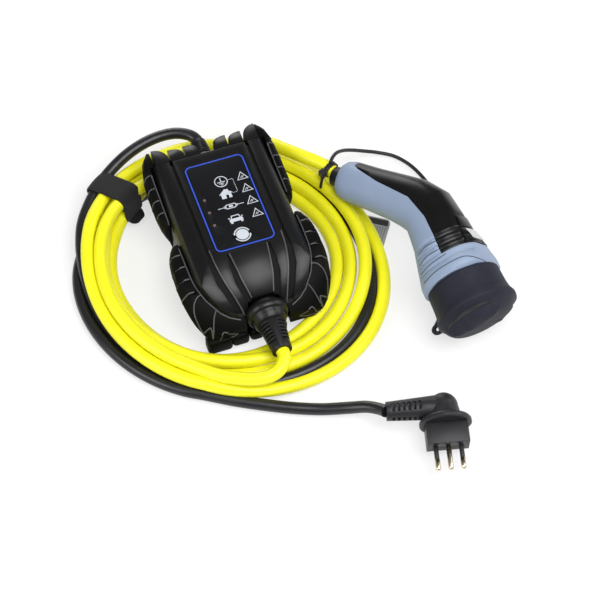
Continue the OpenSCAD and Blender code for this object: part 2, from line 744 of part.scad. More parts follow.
module cable_coil() color(lead_yellow) difference() {
    union() {
        translate([coil_mid.x, coil_mid.y, 0]) linear_extrude(lead_d) difference() {
            polygon(band_side(coil_base, 2));
            polygon(band_side(coil_base, 1));
        }
        strands(coil_left, lead_d - 3, 2 * lead_d - 1);
        strands(coil_first, 2 * lead_d - 3, 2 * lead_d + 4);
        strands(coil_top, 2 * lead_d - 4, 2 * strap_half[1] + strap_t - fit / 2);
        strands(coil_right, lead_d - 3, 2 * lead_d - 3);
        strands(coil_tail, lead_d - 5, lead_d + 2.5);
    }
    at_strap() translate([-strap_w / 2 - fit, -40, -1]) cube([strap_w + 2 * fit, 80, strap_t + 1 + fit / 2]);
    tag_solid(fit);
}

// Strap: a band round all the strands, with its free end on the inner side
module coil_strap() color(black_rubber) at_strap()
    translate([0, 0, strap_half[1] + strap_t]) rotate([0, 90, 0]) {
        linear_extrude(strap_w, center = true) difference() {
            rounded_rect(2 * (strap_half[1] + strap_t), 2 * (strap_half[0] + strap_t), 9 + strap_t);
            rounded_rect(2 * strap_half[1], 2 * strap_half[0], 9);
        }
        linear_extrude(strap_w * 0.8, center = true)
            translate([strap_half[1] - 6, -strap_half[0] - strap_t - 9]) square([strap_t, 10]);
    }

// Connector, drawn with its bend at the origin, the nose along -Y and the flat top at +X

module at_connector() {
    translate(bend_at) rotate([0, 0, nose_yaw]) rotate([nose_pitch, 0, 0]) rotate([0, -nose_roll, 0]) children();
}

// Point on the handle's line, a distance from the bend towards the tail, set off to the top side
function on_grip(s, off) =
    [-sin(grip_angle) * s + cos(grip_angle) * off, cos(grip_angle) * s + sin(grip_angle) * off];

// Stations along the handle: middle, heading, half width and half height
handle_stations = [
    concat(on_grip(grip_len, 0), [grip_angle, 9.5, 9.5]),
    concat(on_grip(grip_len - 1, 0), [grip_angle, 12.5, 12]),
    concat(on_grip(grip_len - 4, 0), [grip_angle, 15, 14.2]),
    concat(on_grip(grip_len - 10, 0), [grip_angle, 16.6, 15.4]),
    concat(on_grip(grip_len - 30, 0), [grip_angle, 17.2, 15.8]),
    concat(on_grip(grip_len - 56, 0), [grip_angle, 19, 17]),
    concat(on_grip(10, -0.5), [grip_angle * 0.8, 20.6, 18.4]),
    [0, -5, grip_angle * 0.4, 21.6, 19.6],
    [0.8, -18, 0, 22.2, 21],
    [0.4, groove_first + 2, 0, 23.4, 22.8],
    [0, -nose_len, 0, collar_r, collar_r]
];

// The neck widens to the collar, with shallow grooves round it
function neck_r(y) = 23.6 + (collar_r - 23.6) * min(1, (groove_first - y) / (groove_first + nose_len - 6));

neck_stations = [
    for (i = [0:groove_count - 1]) for (k = [[0, 0], [0.2, 1], [1.2, 1], [1.4, 0]])
        let (y = groove_first - i * groove_pitch - k[0], r = neck_r(y) - k[1] * groove_cut)
        [0, y, 0, r, r]
];

function handle_line(cut) =
    let (last = len(handle_stations) - 1)
    concat([for (i = [0:last - 1]) handle_stations[i]], cut ? neck_stations : [],
        [[0, 6 - nose_len, 0, collar_r, collar_r], handle_stations[last]]);

function handle_ring(st, inset) =
    let (e = [cos(st[2]), sin(st[2]), 0])
    [for (k = [0:loft_sides - 1])
        let (a = 360 * k / loft_sides, c = cos(a), s = sin(a))
        [st[0], st[1], 0]
            + (st[3] - inset) * sign(c) * pow(abs(c), 0.86) * e
            + (st[4] - inset) * sign(s) * pow(abs(s), 0.86) * [0, 0, 1]];

module handle_body(inset) {
    skin([for (st = handle_line(inset <= 0)) handle_ring(st, inset)]);
}

module flat_top(inset) {
    translate([flat_x - inset, -nose_len - 50, -60]) cube([60, nose_len + 20, 120]);
}

// Line between the grey half and the black half, seen from the side
module grip_zone() {
    translate([0, 0, -60]) linear_extrude(120) polygon([
        on_grip(grip_len - 13, 40), on_grip(grip_len - 13, 13), on_grip(grip_len - 18, 11),
        on_grip(grip_len - 40, 6.5), on_grip(8, 3), [3, -14], [4.5, 18 - nose_len], [60, 18 - nose_len]
    ]);
}

module handle_hollow() {
    difference() {
        handle_body(handle_wall);
        translate([-60, -nose_len - 1, -60]) cube([120, handle_wall + 1, 120]);
        flat_top(handle_wall);
    }
}

// Pocket in the collar for the carrier and the shroud
module nose_pocket() {
    translate([0, -carrier_back, 0]) rotate([90, 0, 0])
        linear_extrude(nose_len) shroud_plan(shroud_r + fit, shroud_flat + fit);
}

module handle_shell() color(handle_grey) at_connector() difference() {
    handle_body(0);
    handle_hollow();
    flat_top(0);
    grip_zone();
    nose_pocket();
    translate([on_grip(grip_len, 0).x, on_grip(grip_len, 0).y, 0]) rotate([90, 0, grip_angle])
        cylinder(r = tail_bush_r + fit, h = 24, center = true);
}

module handle_grip() color(black_rubber) at_connector() difference() {
    intersection() {
        handle_body(0);
        grip_zone();
    }
    handle_hollow();
    flat_top(0);
    nose_plate_place(fit / 2);
}

module nose_plate_place(grow) {
    long = 26;
    wide = 30;
    translate([flat_x - 4, -24 - long - grow, -wide / 2 - grow]) cube([8, long + 2 * grow, wide + 2 * grow]);
}

module nose_plate() color(part_dark) at_connector() nose_plate_solid();

module nose_plate_solid() {
    intersection() {
        nose_plate_place(0);
        handle_body(-0.8);
        translate([-60, -120, -60]) cube([60 + flat_x + 0.6, 200, 120]);
    }
}

// Mating face: shroud, contact carrier and contacts

module shroud_plan(r, flat) {
    intersection() {
        circle(r);
        translate([-2 * r, -2 * r]) square([2 * r + flat, 4 * r]);
    }
}

// From the collar forwards, nose axis up
module on_nose(start) {
    at_connector() translate([0, -start, 0]) rotate([90, 0, 0]) children();
}

module contact_shroud() color(part_dark) on_nose(carrier_back + carrier_t) difference() {
    linear_extrude(nose_len + shroud_len - carrier_back - carrier_t) shroud_plan(shroud_r, shroud_flat);
    translate([0, 0, -1]) linear_extrude(nose_len + shroud_len)
        shroud_plan(shroud_r - shroud_wall, shroud_flat - shroud_wall);
}

module tower(r, place) {
    translate([place.x, place.y, 0]) difference() {
        cylinder(r = r + tower_wall, h = carrier_face, $fn = 24);
        translate([0, 0, -1]) cylinder(r = r + fit, h = carrier_face + 2, $fn = 24);
    }
}

module contact_carrier() color(black_shell) on_nose(carrier_back) linear_extrude(carrier_t)
    shroud_plan(shroud_r, shroud_flat);

module contact_towers() color(black_shell) on_nose(carrier_back + carrier_t) {
    for (p = power_places) tower(power_r, p);
    for (p = signal_places) tower(signal_r, p);
}

// Turned socket, closed at the back
module socket(r, bore, place) {
    translate([place.x, place.y, 0]) difference() {
        cylinder(r = r, h = carrier_face - 3);
        translate([0, 0, 3]) cylinder(r = bore, h = carrier_face);
    }
}

module power_contacts() color(brass) on_nose(carrier_back + carrier_t) for (p = power_places) socket(power_r, power_r - 1, p);

module signal_contacts() color(brass) on_nose(carrier_back + carrier_t) for (p = signal_places) socket(signal_r, signal_r - 1, p);

module tail_bush() color(black_rubber) at_connector()
    translate([on_grip(grip_len, 0).x, on_grip(grip_len, 0).y, 0]) rotate([-90, 0, grip_angle]) {
        translate([0, 0, -10]) cylinder(r = tail_bush_r, h = 10 + tail_bush_len);
    }

// Soft cap: a cup over the shroud that flares to a fold and closes in a dome
module dust_cap() color(cap_blue) on_nose(nose_len + skin_gap) {
    inside = shroud_r + cap_clear;
    outside = inside + cap_wall;
    rotate_extrude() polygon([
        [inside, 0], [outside, 0], [outside + 1.4, cap_len * 0.3], [outside + 4.6, cap_len * 0.6],
        [outside + 4.4, cap_len * 0.66], [outside + 1, cap_len * 0.74], [outside - 4, cap_len * 0.9],
        [outside - 9, cap_len], [0, cap_len], [0, shroud_len + cap_clear], [inside, shroud_len + cap_clear]
    ]);
    translate([-outside - 4, 0, cap_len * 0.5]) rotate([90, 0, 0]) cylinder(r = 4, h = 6, center = true);
}

module cap_tether() color(black_rubber) tube(tether_path, tether_d, 8);

// Cable tie round the lead behind the handle, with its lock and tail
module tether_tie() color(black_rubber) translate([91.9, 34.4, 26.8]) rotate([0, 0, 24]) {
    rotate([90, 0, 0]) {
        difference() {
            cylinder(r = lead_d / 2 + 1.5, h = 4, center = true);
            cylinder(r = lead_d / 2 + 0.1, h = 6, center = true);
        }
        translate([-lead_d / 2 - 5.4, -1, -2.6]) cube([4.8, 6, 5.2]);
    }
    translate([-lead_d / 2 - 3, 0, 2]) rotate([0, 138, 214]) cylinder(r = 1.1, h = 12);
}

// Card tag under the handle, tucked under the coil
module tag_solid(grow) {
    translate([129, -14, 0.4 - grow]) rotate([8, 0, 136]) linear_extrude(0.6 + 2 * grow)
        translate([25, 18]) rounded_rect(50 + 2 * grow, 36 + 2 * grow, 4);
}

module cable_tag() color(tag_grey) tag_solid(0);

// Mains plug, drawn with its pins along -Y and the lead coming in from -X

module at_plug() {
    translate(plug_at) rotate([0, 0, plug_yaw]) rotate([plug_tilt, 0, 0]) children();
}

module plug_body() color(black_rubber) at_plug() difference() {
    union() {
        translate([-12, 0, 0]) rotate([0, -90, 0]) cylinder(r1 = 9, r2 = 7.2, h = plug_reach - 12);
        rotate([0, -90, 0]) translate([0, 0, -2]) cylinder(r1 = 10, r2 = 9, h = 14);
        sphere(r = 11);
        rotate([90, 0, 0]) cylinder(r1 = 11, r2 = 13, h = flange_at);
        translate([0, -flange_at, 0]) rotate([90, 0, 0]) rotate_extrude() polygon([
            [0, -3], [12, -3], [plug_flange_d / 2 - 1, -0.6], [plug_flange_d / 2, 0.8],
            [plug_flange_d / 2, flange_t - 0.8], [plug_flange_d / 2 - 1, flange_t], [0, flange_t]
        ]);
    }
    for (i = [0:5], a = [0:90:270]) rotate([a, 0, 0])
        translate([-plug_reach + 4 + i * 4, -3.4, 5]) cube([1.9, 6.8, 6]);
    for (x = [-1:1]) translate([x * pin_pitch, 0, 0]) rotate([90, 0, 0])
        translate([0, 0, flange_at]) cylinder(d = pin_d + 2, h = 20);
}

module plug_insert() color(part_dark) at_plug() difference() {
    union() {
        translate([-pin_block_w / 2, -block_face, -pin_block_t / 2])
            cube([pin_block_w, pin_block_len, pin_block_t]);
        for (x = [-1:1]) translate([x * pin_pitch, -flange_at - flange_t, 0]) rotate([-90, 0, 0])
            translate([0, 0, -1]) cylinder(d = pin_d + 2 - 2 * fit, h = flange_t + 0.5);
    }
    for (x = [-1:1]) translate([x * pin_pitch, 0, 0]) rotate([90, 0, 0])
        translate([0, 0, flange_at + flange_t]) cylinder(d = pin_root_d, h = pin_block_len + 1);
}

// Solid round pin with a domed tip; an outer pin is necked for its sleeve
module pin(x, sleeve) {
    at_plug() translate([x, -flange_at - flange_t, 0]) rotate([90, 0, 0]) rotate_extrude() polygon(concat(
        [[0, 0], [pin_root_d / 2, 0]],
        sleeve > 0 ? [
            [pin_root_d / 2, pin_block_len], [pin_neck_d / 2, pin_block_len],
            [pin_neck_d / 2, pin_block_len + sleeve], [pin_d / 2, pin_block_len + sleeve]
        ] : [
            [pin_root_d / 2, pin_block_len + pin_shoulder], [pin_d / 2, pin_block_len + pin_shoulder]
        ],
        [for (a = [0:15:90]) [pin_d / 2 * cos(a), pin_block_len + pin_len + pin_d / 2 * (sin(a) - 1)]]
    ));
}

module line_pin() color(brass) pin(pin_pitch, sleeve_len);

module neutral_pin() color(brass) pin(-pin_pitch, sleeve_len);

module earth_pin() color(brass) pin(0, 0);

module pin_sleeves() color(black_rubber) at_plug() for (x = [-1, 1])
    translate([x * pin_pitch, -block_face, 0]) rotate([90, 0, 0]) difference() {
        cylinder(d = sleeve_d, h = sleeve_len);
        translate([0, 0, -1]) cylinder(d = pin_neck_d, h = sleeve_len + 2);
    }

lower_shell();
side_bumpers();
upper_cover();
housing_seal();
housing_screws();
side_plates();
panel_overlay();
start_key();
status_lenses();
display_board();
key_switch();
control_board();
board_screws();
power_relays();
residual_current_sensor();
supply_transformer();
filter_capacitors();
input_terminals();
output_terminals();
processor_chip();
output_gland();
output_boot();
input_gland();
input_boot();
charging_lead_start();
cable_coil();
charging_lead_end();
mains_lead_start();
mains_lead_end();
coil_strap();
handle_shell();
handle_grip();
nose_plate();
contact_shroud();
contact_carrier();
contact_towers();
power_contacts();
signal_contacts();
tail_bush();
dust_cap();
cap_tether();
tether_tie();
cable_tag();
plug_body();
plug_insert();
line_pin();
neutral_pin();
earth_pin();
pin_sleeves();
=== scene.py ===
import json
import math
import bpy
import numpy as np
from mathutils import Matrix, Vector
from mathutils.bvhtree import BVHTree


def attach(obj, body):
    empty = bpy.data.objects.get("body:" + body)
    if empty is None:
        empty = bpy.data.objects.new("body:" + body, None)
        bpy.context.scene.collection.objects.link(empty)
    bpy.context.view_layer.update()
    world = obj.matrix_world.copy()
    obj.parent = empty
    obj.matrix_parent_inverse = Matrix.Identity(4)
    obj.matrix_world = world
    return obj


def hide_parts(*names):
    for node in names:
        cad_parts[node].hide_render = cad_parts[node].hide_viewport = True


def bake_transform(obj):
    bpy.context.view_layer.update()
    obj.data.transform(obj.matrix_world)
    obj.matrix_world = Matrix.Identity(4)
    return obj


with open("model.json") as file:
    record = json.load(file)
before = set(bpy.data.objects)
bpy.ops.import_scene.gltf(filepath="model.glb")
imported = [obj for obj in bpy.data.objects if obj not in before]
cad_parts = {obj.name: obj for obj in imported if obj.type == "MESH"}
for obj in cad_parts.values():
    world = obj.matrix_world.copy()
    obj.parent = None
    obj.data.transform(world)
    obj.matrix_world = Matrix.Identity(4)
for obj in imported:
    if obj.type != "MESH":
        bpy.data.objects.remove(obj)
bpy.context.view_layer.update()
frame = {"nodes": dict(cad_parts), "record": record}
mm = 0.001
scene = bpy.context.scene
scene.view_settings.view_transform = "Standard"
print("frame loaded:", len(frame["nodes"]), "nodes")


# helpers

def pickOnly(obj):
    bpy.ops.object.select_all(action="DESELECT")
    obj.select_set(True)
    bpy.context.view_layer.objects.active = obj


def applyAll(obj):
    pickOnly(obj)
    for mod in list(obj.modifiers):
        bpy.ops.object.modifier_apply(modifier=mod.name)


def putDown(obj):  # place, turn and size go into the mesh
    pickOnly(obj)
    bpy.ops.object.transform_apply(location=True, rotation=True, scale=True)


def joinAll(objs, name):
    bpy.ops.object.select_all(action="DESELECT")
    for o in objs:
        o.select_set(True)
    bpy.context.view_layer.objects.active = objs[0]
    bpy.ops.object.join()
    objs[0].name = name
    return objs[0]


def addEdge(obj, width, segments, degrees=30):  # rounded edges
    bevel = obj.modifiers.new("edge", "BEVEL")
    bevel.width = width * mm
    bevel.segments = segments
    bevel.limit_method = "ANGLE"
    bevel.angle_limit = math.radians(degrees)


def addWall(obj, thick, offset):
    wall = obj.modifiers.new("wall", "SOLIDIFY")
    wall.thickness = thick * mm
    wall.offset = offset


def addSoft(obj, levels):
    soft = obj.modifiers.new("soft", "SUBSURF")
    soft.levels = soft.render_levels = levels


def editAll():
    bpy.ops.object.mode_set(mode="EDIT")
    bpy.ops.mesh.select_all(action="SELECT")


def outward():  # from edit mode: faces look out, back to object mode
    bpy.ops.mesh.select_all(action="SELECT")
    bpy.ops.mesh.normals_make_consistent(inside=False)
    bpy.ops.object.mode_set(mode="OBJECT")


def surfaceOf(obj):
    return BVHTree.FromObject(obj, bpy.context.evaluated_depsgraph_get())


def moved(x, y, z):
    return Matrix.Translation(Vector((x, y, z)) * mm)


def turned(degrees, axis):
    return Matrix.Rotation(math.radians(degrees), 4, axis)


def smoothBy(obj, degrees):
    pickOnly(obj)
    bpy.ops.object.shade_smooth_by_angle(angle=math.radians(degrees))


def finishPiece(obj, name, finish, body, nodes=()):
    obj.name = name
    obj.data.materials.clear()
    obj.data.materials.append(finish)
    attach(obj, body)
    if nodes:
        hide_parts(*nodes)
    return obj


def moveVerts(obj, change):  # change takes and gives a Vector
    for v in obj.data.vertices:
        v.co = change(v.co.copy())
    obj.data.update()


# camera and lamps

cameraSpec = {"target": (0.0338, -0.0585, 0.0), "azimuth": -19.3, "elevation": 56.6, "away": 1.8,
              "lens": 138.46, "sensor": 36, "far": 20, "picture": 600}


def makeCamera(spec):
    az, el = math.radians(spec["azimuth"]), math.radians(spec["elevation"])
    back = Vector((math.sin(az) * math.cos(el), -math.cos(az) * math.cos(el), math.sin(el)))
    right = Vector((math.cos(az), math.sin(az), 0))
    up = back.cross(right)
    bpy.ops.object.camera_add(location=Vector(spec["target"]) + spec["away"] * back)
    cam = bpy.context.object
    cam.rotation_euler = Matrix((right, up, back)).transposed().to_euler()
    cam.data.lens = spec["lens"]
    cam.data.sensor_width = spec["sensor"]
    cam.data.clip_end = spec["far"]
    scene.camera = cam
    return Matrix.Translation(cam.location) @ Matrix((right, up, back)).transposed().to_4x4()


lampSpec = {
    "overhead": {"place": (0.25, -0.62, 1.3), "look": (0.03, -0.04, 0), "size": 1.0, "watts": 19},
    "leftSide": {"place": (-1.2, -0.4, 0.9), "look": (0, 0, 0), "size": 0.9, "watts": 11},
    "farSide": {"place": (0.2, 1.3, 0.42), "look": (0, 0, 0.02), "size": 0.7, "watts": 6},
    "rightSide": {"place": (1.2, -0.2, 0.7), "look": (0.05, -0.05, 0), "size": 0.8, "watts": 6},
}


def makeLamps(spec):
    for name, s in spec.items():
        bpy.ops.object.light_add(type="AREA", location=s["place"])
        lamp = bpy.context.object
        lamp.name = name
        lamp.data.size = s["size"]
        lamp.data.energy = s["watts"]
        way = Vector(s["look"]) - Vector(s["place"])
        lamp.rotation_euler = way.to_track_quat("-Z", "Y").to_euler()


eyeFrame = makeCamera(cameraSpec)
makeLamps(lampSpec)
print("camera and lamps set")


# shader sums

class Wire:  # one socket, with the sums that the finishes use
    def __init__(self, tree, socket):
        self.tree = tree
        self.socket = socket

    def sum(self, operation, first, second):
        node = self.tree.nodes.new("ShaderNodeMath")
        node.operation = operation
        feed(self.tree, first, node.inputs[0])
        feed(self.tree, second, node.inputs[1])
        return Wire(self.tree, node.outputs[0])

    def __add__(self, other):
        return self.sum("ADD", self, other)

    def __rsub__(self, other):
        return self.sum("SUBTRACT", other, self)

    def __mul__(self, other):
        return self.sum("MULTIPLY", self, other)


def feed(tree, value, socket):  # a wire is linked, a plain value is set
    if isinstance(value, Wire):
        tree.links.new(value.socket, socket)
    else:
        socket.default_value = value


class Finish:  # one material, built node by node
    def __init__(self, name, **values):
        self.material = bpy.data.materials.new(name)
        self.material.use_nodes = True
        self.tree = self.material.node_tree
        self.shader = self.tree.nodes["Principled BSDF"]
        for socket, value in values.items():
            self.set(socket.replace("_", " "), value)

    def set(self, socket, value):
        feed(self.tree, value, self.shader.inputs[socket])

    def node(self, kind, settings, sockets, out=0):
        node = self.tree.nodes.new("ShaderNode" + kind)
        for key, value in settings.items():
            if key == "stops":
                ramp = node.color_ramp
                while len(ramp.elements) < len(value):
                    ramp.elements.new(0.5)
                for element, (place, colour) in zip(ramp.elements, value):
                    element.position = place
                    element.color = colour
            else:
                setattr(node, key, value)
        for key, value in sockets.items():
            feed(self.tree, value, node.inputs[key])
        return Wire(self.tree, node.outputs[out])

    def spot(self):
        return self.node("TexCoord", {}, {}, "Object")

    def noise(self, scale, detail, rough):
        sockets = {"Vector": self.spot(), "Scale": scale, "Detail": detail, "Roughness": rough}
        return self.node("TexNoise", {}, sockets)

    def mix(self, amount, first, second):
        return self.node("Mix", {"data_type": "RGBA"}, {0: amount, 6: first, 7: second}, 2)

    def bump(self, height, strength, depth):
        self.set("Normal", self.node("Bump", {}, {"Height": height, "Strength": strength, "Distance": depth}))


def rgb(r, g, b):
    return (r, g, b, 1.0)


def moulded(name, dark, light, rough, grain, deep, shine=0.34):  # moulded plastic or rubber
    f = Finish(name, Specular_IOR_Level=shine)
    cloud = f.noise(38, 4, 0.6)
    fine = f.noise(grain, 2, 0.5)
    f.set("Base Color", f.mix(cloud, rgb(*dark), rgb(*light)))
    f.set("Roughness", cloud * 0.10 + fine * 0.06 + (rough - 0.08))
    f.bump(fine, 0.5, deep * mm)
    return f.material


def sheath(name, dark, light, rough):  # extruded cable jacket: faint long waves, rubbed spots
    f = Finish(name)
    wave = f.noise(60, 3, 0.55)
    rub = f.noise(420, 3, 0.6)
    f.set("Base Color", f.mix(wave, rgb(*dark), rgb(*light)))
    f.set("Roughness", wave * 0.10 + rub * 0.10 + (rough - 0.10))
    f.bump(wave * 0.7 + rub * 0.3, 0.35, 0.0003)
    return f.material


def metal(name, dark, light, rough):
    f = Finish(name, Metallic=1.0)
    line = f.noise(900, 4, 0.7)
    haze = f.noise(120, 3, 0.5)
    f.set("Base Color", f.mix(haze, rgb(*dark), rgb(*light)))
    f.set("Roughness", line * 0.12 + haze * 0.10 + (rough - 0.1))
    f.bump(line, 0.15, 0.0001)
    return f.material


def printed(name, colour, rough):  # ink on film
    f = Finish(name)
    speck = f.noise(1800, 2, 0.5)
    shade = f.noise(150, 2, 0.5)
    paler = (min(1, c * 1.12) for c in colour)
    f.set("Base Color", f.mix(shade, rgb(*colour), rgb(*paler)))
    f.set("Roughness", speck * 0.14 + (rough - 0.07))
    f.bump(speck, 0.2, 0.00002)
    return f.material


def hookLoop(name):  # strap: short loops over a woven back
    f = Finish(name)
    f.set("Sheen Weight", 0.03)
    f.set("Sheen Roughness", 0.5)
    tuft = f.noise(1500, 4, 0.7)
    patch = f.noise(110, 3, 0.6)
    tone = patch * 0.6 + tuft * 0.4
    f.set("Base Color", f.mix(tone, rgb(0.0026, 0.0026, 0.0034), rgb(0.0085, 0.0085, 0.0105)))
    f.set("Roughness", tuft * 0.15 + 0.78)
    f.bump(tuft, 0.9, 0.0007)
    return f.material


def softCap(name):  # dusty soft rubber with scuffs
    f = Finish(name, Specular_IOR_Level=0.22)
    broad = f.noise(32, 5, 0.62)
    dust = f.noise(300, 4, 0.7)
    scuff = f.node("ValToRGB", {"stops": [(0.52, rgb(0, 0, 0)), (0.74, rgb(1, 1, 1))]}, {"Fac": broad})
    tone = f.mix(broad, rgb(0.0100, 0.0110, 0.0185), rgb(0.0190, 0.0205, 0.0330))
    f.set("Base Color", f.mix(scuff * dust * 0.5, tone, rgb(0.040, 0.042, 0.056)))
    f.set("Roughness", broad * 0.12 + dust * 0.12 + 0.50)
    f.bump(broad * 0.7 + dust * 0.3, 0.5, 0.0008)
    return f.material


def circuitBoard(name):
    f = Finish(name)
    cell = f.node("TexVoronoi", {"feature": "DISTANCE_TO_EDGE"}, {"Vector": f.spot(), "Scale": 240.0})
    track = f.node("ValToRGB", {"stops": [(0.04, rgb(1, 1, 1)), (0.09, rgb(0, 0, 0))]}, {"Fac": cell})
    f.set("Base Color", f.mix(track * 0.6, rgb(0.010, 0.085, 0.030), rgb(0.05, 0.24, 0.09)))
    f.set("Roughness", 0.45 - track * 0.1)
    f.bump(track, 0.3, 0.00005)
    return f.material


mouldedSpec = {  # slot: name, dark, light, roughness, grain, its depth and, where it differs, the shine
    "black_shell": ("blackShell", (0.0036, 0.0036, 0.0041), (0.0064, 0.0064, 0.0073), 0.33, 2600, 0.06),
    "panel_film": ("panelFilm", (0.0042, 0.0045, 0.0056), (0.0062, 0.0066, 0.0080), 0.44, 3400, 0.05, 0.14),
    "key_film": ("keyFilm", (0.0042, 0.0045, 0.0056), (0.0062, 0.0066, 0.0080), 0.42, 3400, 0.04, 0.14),
    "lens_clear": ("lensFrosted", (0.09, 0.060, 0.058), (0.16, 0.11, 0.105), 0.42, 2500, 0.03),
    "seal_rubber": ("sealRubber", (0.012, 0.012, 0.012), (0.022, 0.022, 0.022), 0.7, 1500, 0.1),
    "plate_grey": ("plateGrey", (0.085, 0.085, 0.074), (0.135, 0.133, 0.118), 0.55, 2200, 0.06),
    "part_dark": ("partDark", (0.012, 0.012, 0.014), (0.025, 0.025, 0.028), 0.5, 2000, 0.05),
    "part_bronze": ("partBronze", (0.16, 0.09, 0.03), (0.28, 0.17, 0.06), 0.4, 1800, 0.08),
    "part_blue": ("partBlue", (0.025, 0.035, 0.12), (0.05, 0.07, 0.22), 0.35, 1800, 0.05),
    "terminal_green": ("terminalGreen", (0.03, 0.13, 0.06), (0.06, 0.21, 0.10), 0.45, 2000, 0.05),
    "boot_rubber": ("bootRubber", (0.0060, 0.0060, 0.0068), (0.0105, 0.0105, 0.0118), 0.40, 1900, 0.08),
    "handle_grey": ("handleGrey", (0.225, 0.285, 0.400), (0.275, 0.345, 0.475), 0.46, 2300, 0.07),
    "grip_black": ("gripBlack", (0.0036, 0.0036, 0.0038), (0.0062, 0.0062, 0.0066), 0.30, 2600, 0.05, 0.26),
    "shroud_black": ("shroudBlack", (0.012, 0.012, 0.014), (0.022, 0.022, 0.025), 0.45, 2200, 0.06),
    "tether_black": ("tetherBlack", (0.010, 0.010, 0.012), (0.022, 0.022, 0.025), 0.42, 1500, 0.08),
    "tag_card": ("tagCard", (0.28, 0.28, 0.30), (0.38, 0.38, 0.40), 0.5, 1600, 0.04),
    "plug_black": ("plugBlack", (0.0110, 0.0110, 0.0135), (0.0200, 0.0200, 0.0240), 0.42, 1900, 0.08),
    "sleeve_black": ("sleeveBlack", (0.010, 0.010, 0.011), (0.020, 0.020, 0.021), 0.42, 2200, 0.05),
}
finishes = {slot: moulded(*values) for slot, values in mouldedSpec.items()}
finishes.update({
    "lead_yellow": sheath("leadYellow", (0.84, 0.80, 0.006), (0.93, 0.90, 0.020), 0.40),
    "mains_black": sheath("mainsBlack", (0.0070, 0.0070, 0.0085), (0.0150, 0.0150, 0.0180), 0.34),
    "steel": metal("platedSteel", (0.48, 0.48, 0.50), (0.66, 0.66, 0.68), 0.32),
    "contact_silver": metal("contactSilver", (0.70, 0.68, 0.62), (0.86, 0.84, 0.79), 0.26),
    "pin_brass": metal("pinPlated", (0.66, 0.56, 0.38), (0.86, 0.79, 0.64), 0.26),
    "board_green": circuitBoard("boardGreen"),
    "strap_black": hookLoop("strapHookLoop"),
    "cap_rubber": softCap("capRubber"),
})
slotOf = {p["node"]: p["material_slot"] for p in frame["record"]["subparts"]}
for nodeName, nodeObj in frame["nodes"].items():  # every carried-over solid gets its finish
    nodeObj.data.materials.clear()
    nodeObj.data.materials.append(finishes[slotOf[nodeName]])
print("finishes:", len(finishes))


# floor and surroundings

floorSpec = {"size": 6, "low": 0.2, "glow": 0.62, "room": 0.17}


def makeFloor(spec):
    f = Finish("paleFloor", Roughness=0.85)
    f.set("Base Color", rgb(0.90, 0.90, 0.90))
    rays = ("Camera", "Glossy", "Transmission")
    eye, gloss, through = (f.node("LightPath", {}, {}, "Is " + ray + " Ray") for ray in rays)
    seen = eye.sum("MAXIMUM", eye.sum("MAXIMUM", eye, gloss), through)
    glow = f.node("Emission", {}, {"Strength": 1.0})
    both = f.node("MixShader", {}, {0: seen * spec["glow"], 1: Wire(f.tree, f.shader.outputs[0]), 2: glow})
    f.tree.links.new(both.socket, f.tree.nodes["Material Output"].inputs["Surface"])
    bpy.ops.mesh.primitive_plane_add(size=spec["size"], location=(0, 0, -spec["low"] * mm))
    floor = bpy.context.object
    floor.name = "floor"
    floor.data.materials.append(f.material)
    world = bpy.data.worlds.new("paleRoom")
    world.use_nodes = True
    backdrop = world.node_tree.nodes["Background"]
    backdrop.inputs[0].default_value = rgb(1, 1, 1)
    backdrop.inputs[1].default_value = spec["room"]
    scene.world = world


makeFloor(floorSpec)
print("floor laid")


# leads: a coil of strands that settle on each other, then the loose ends

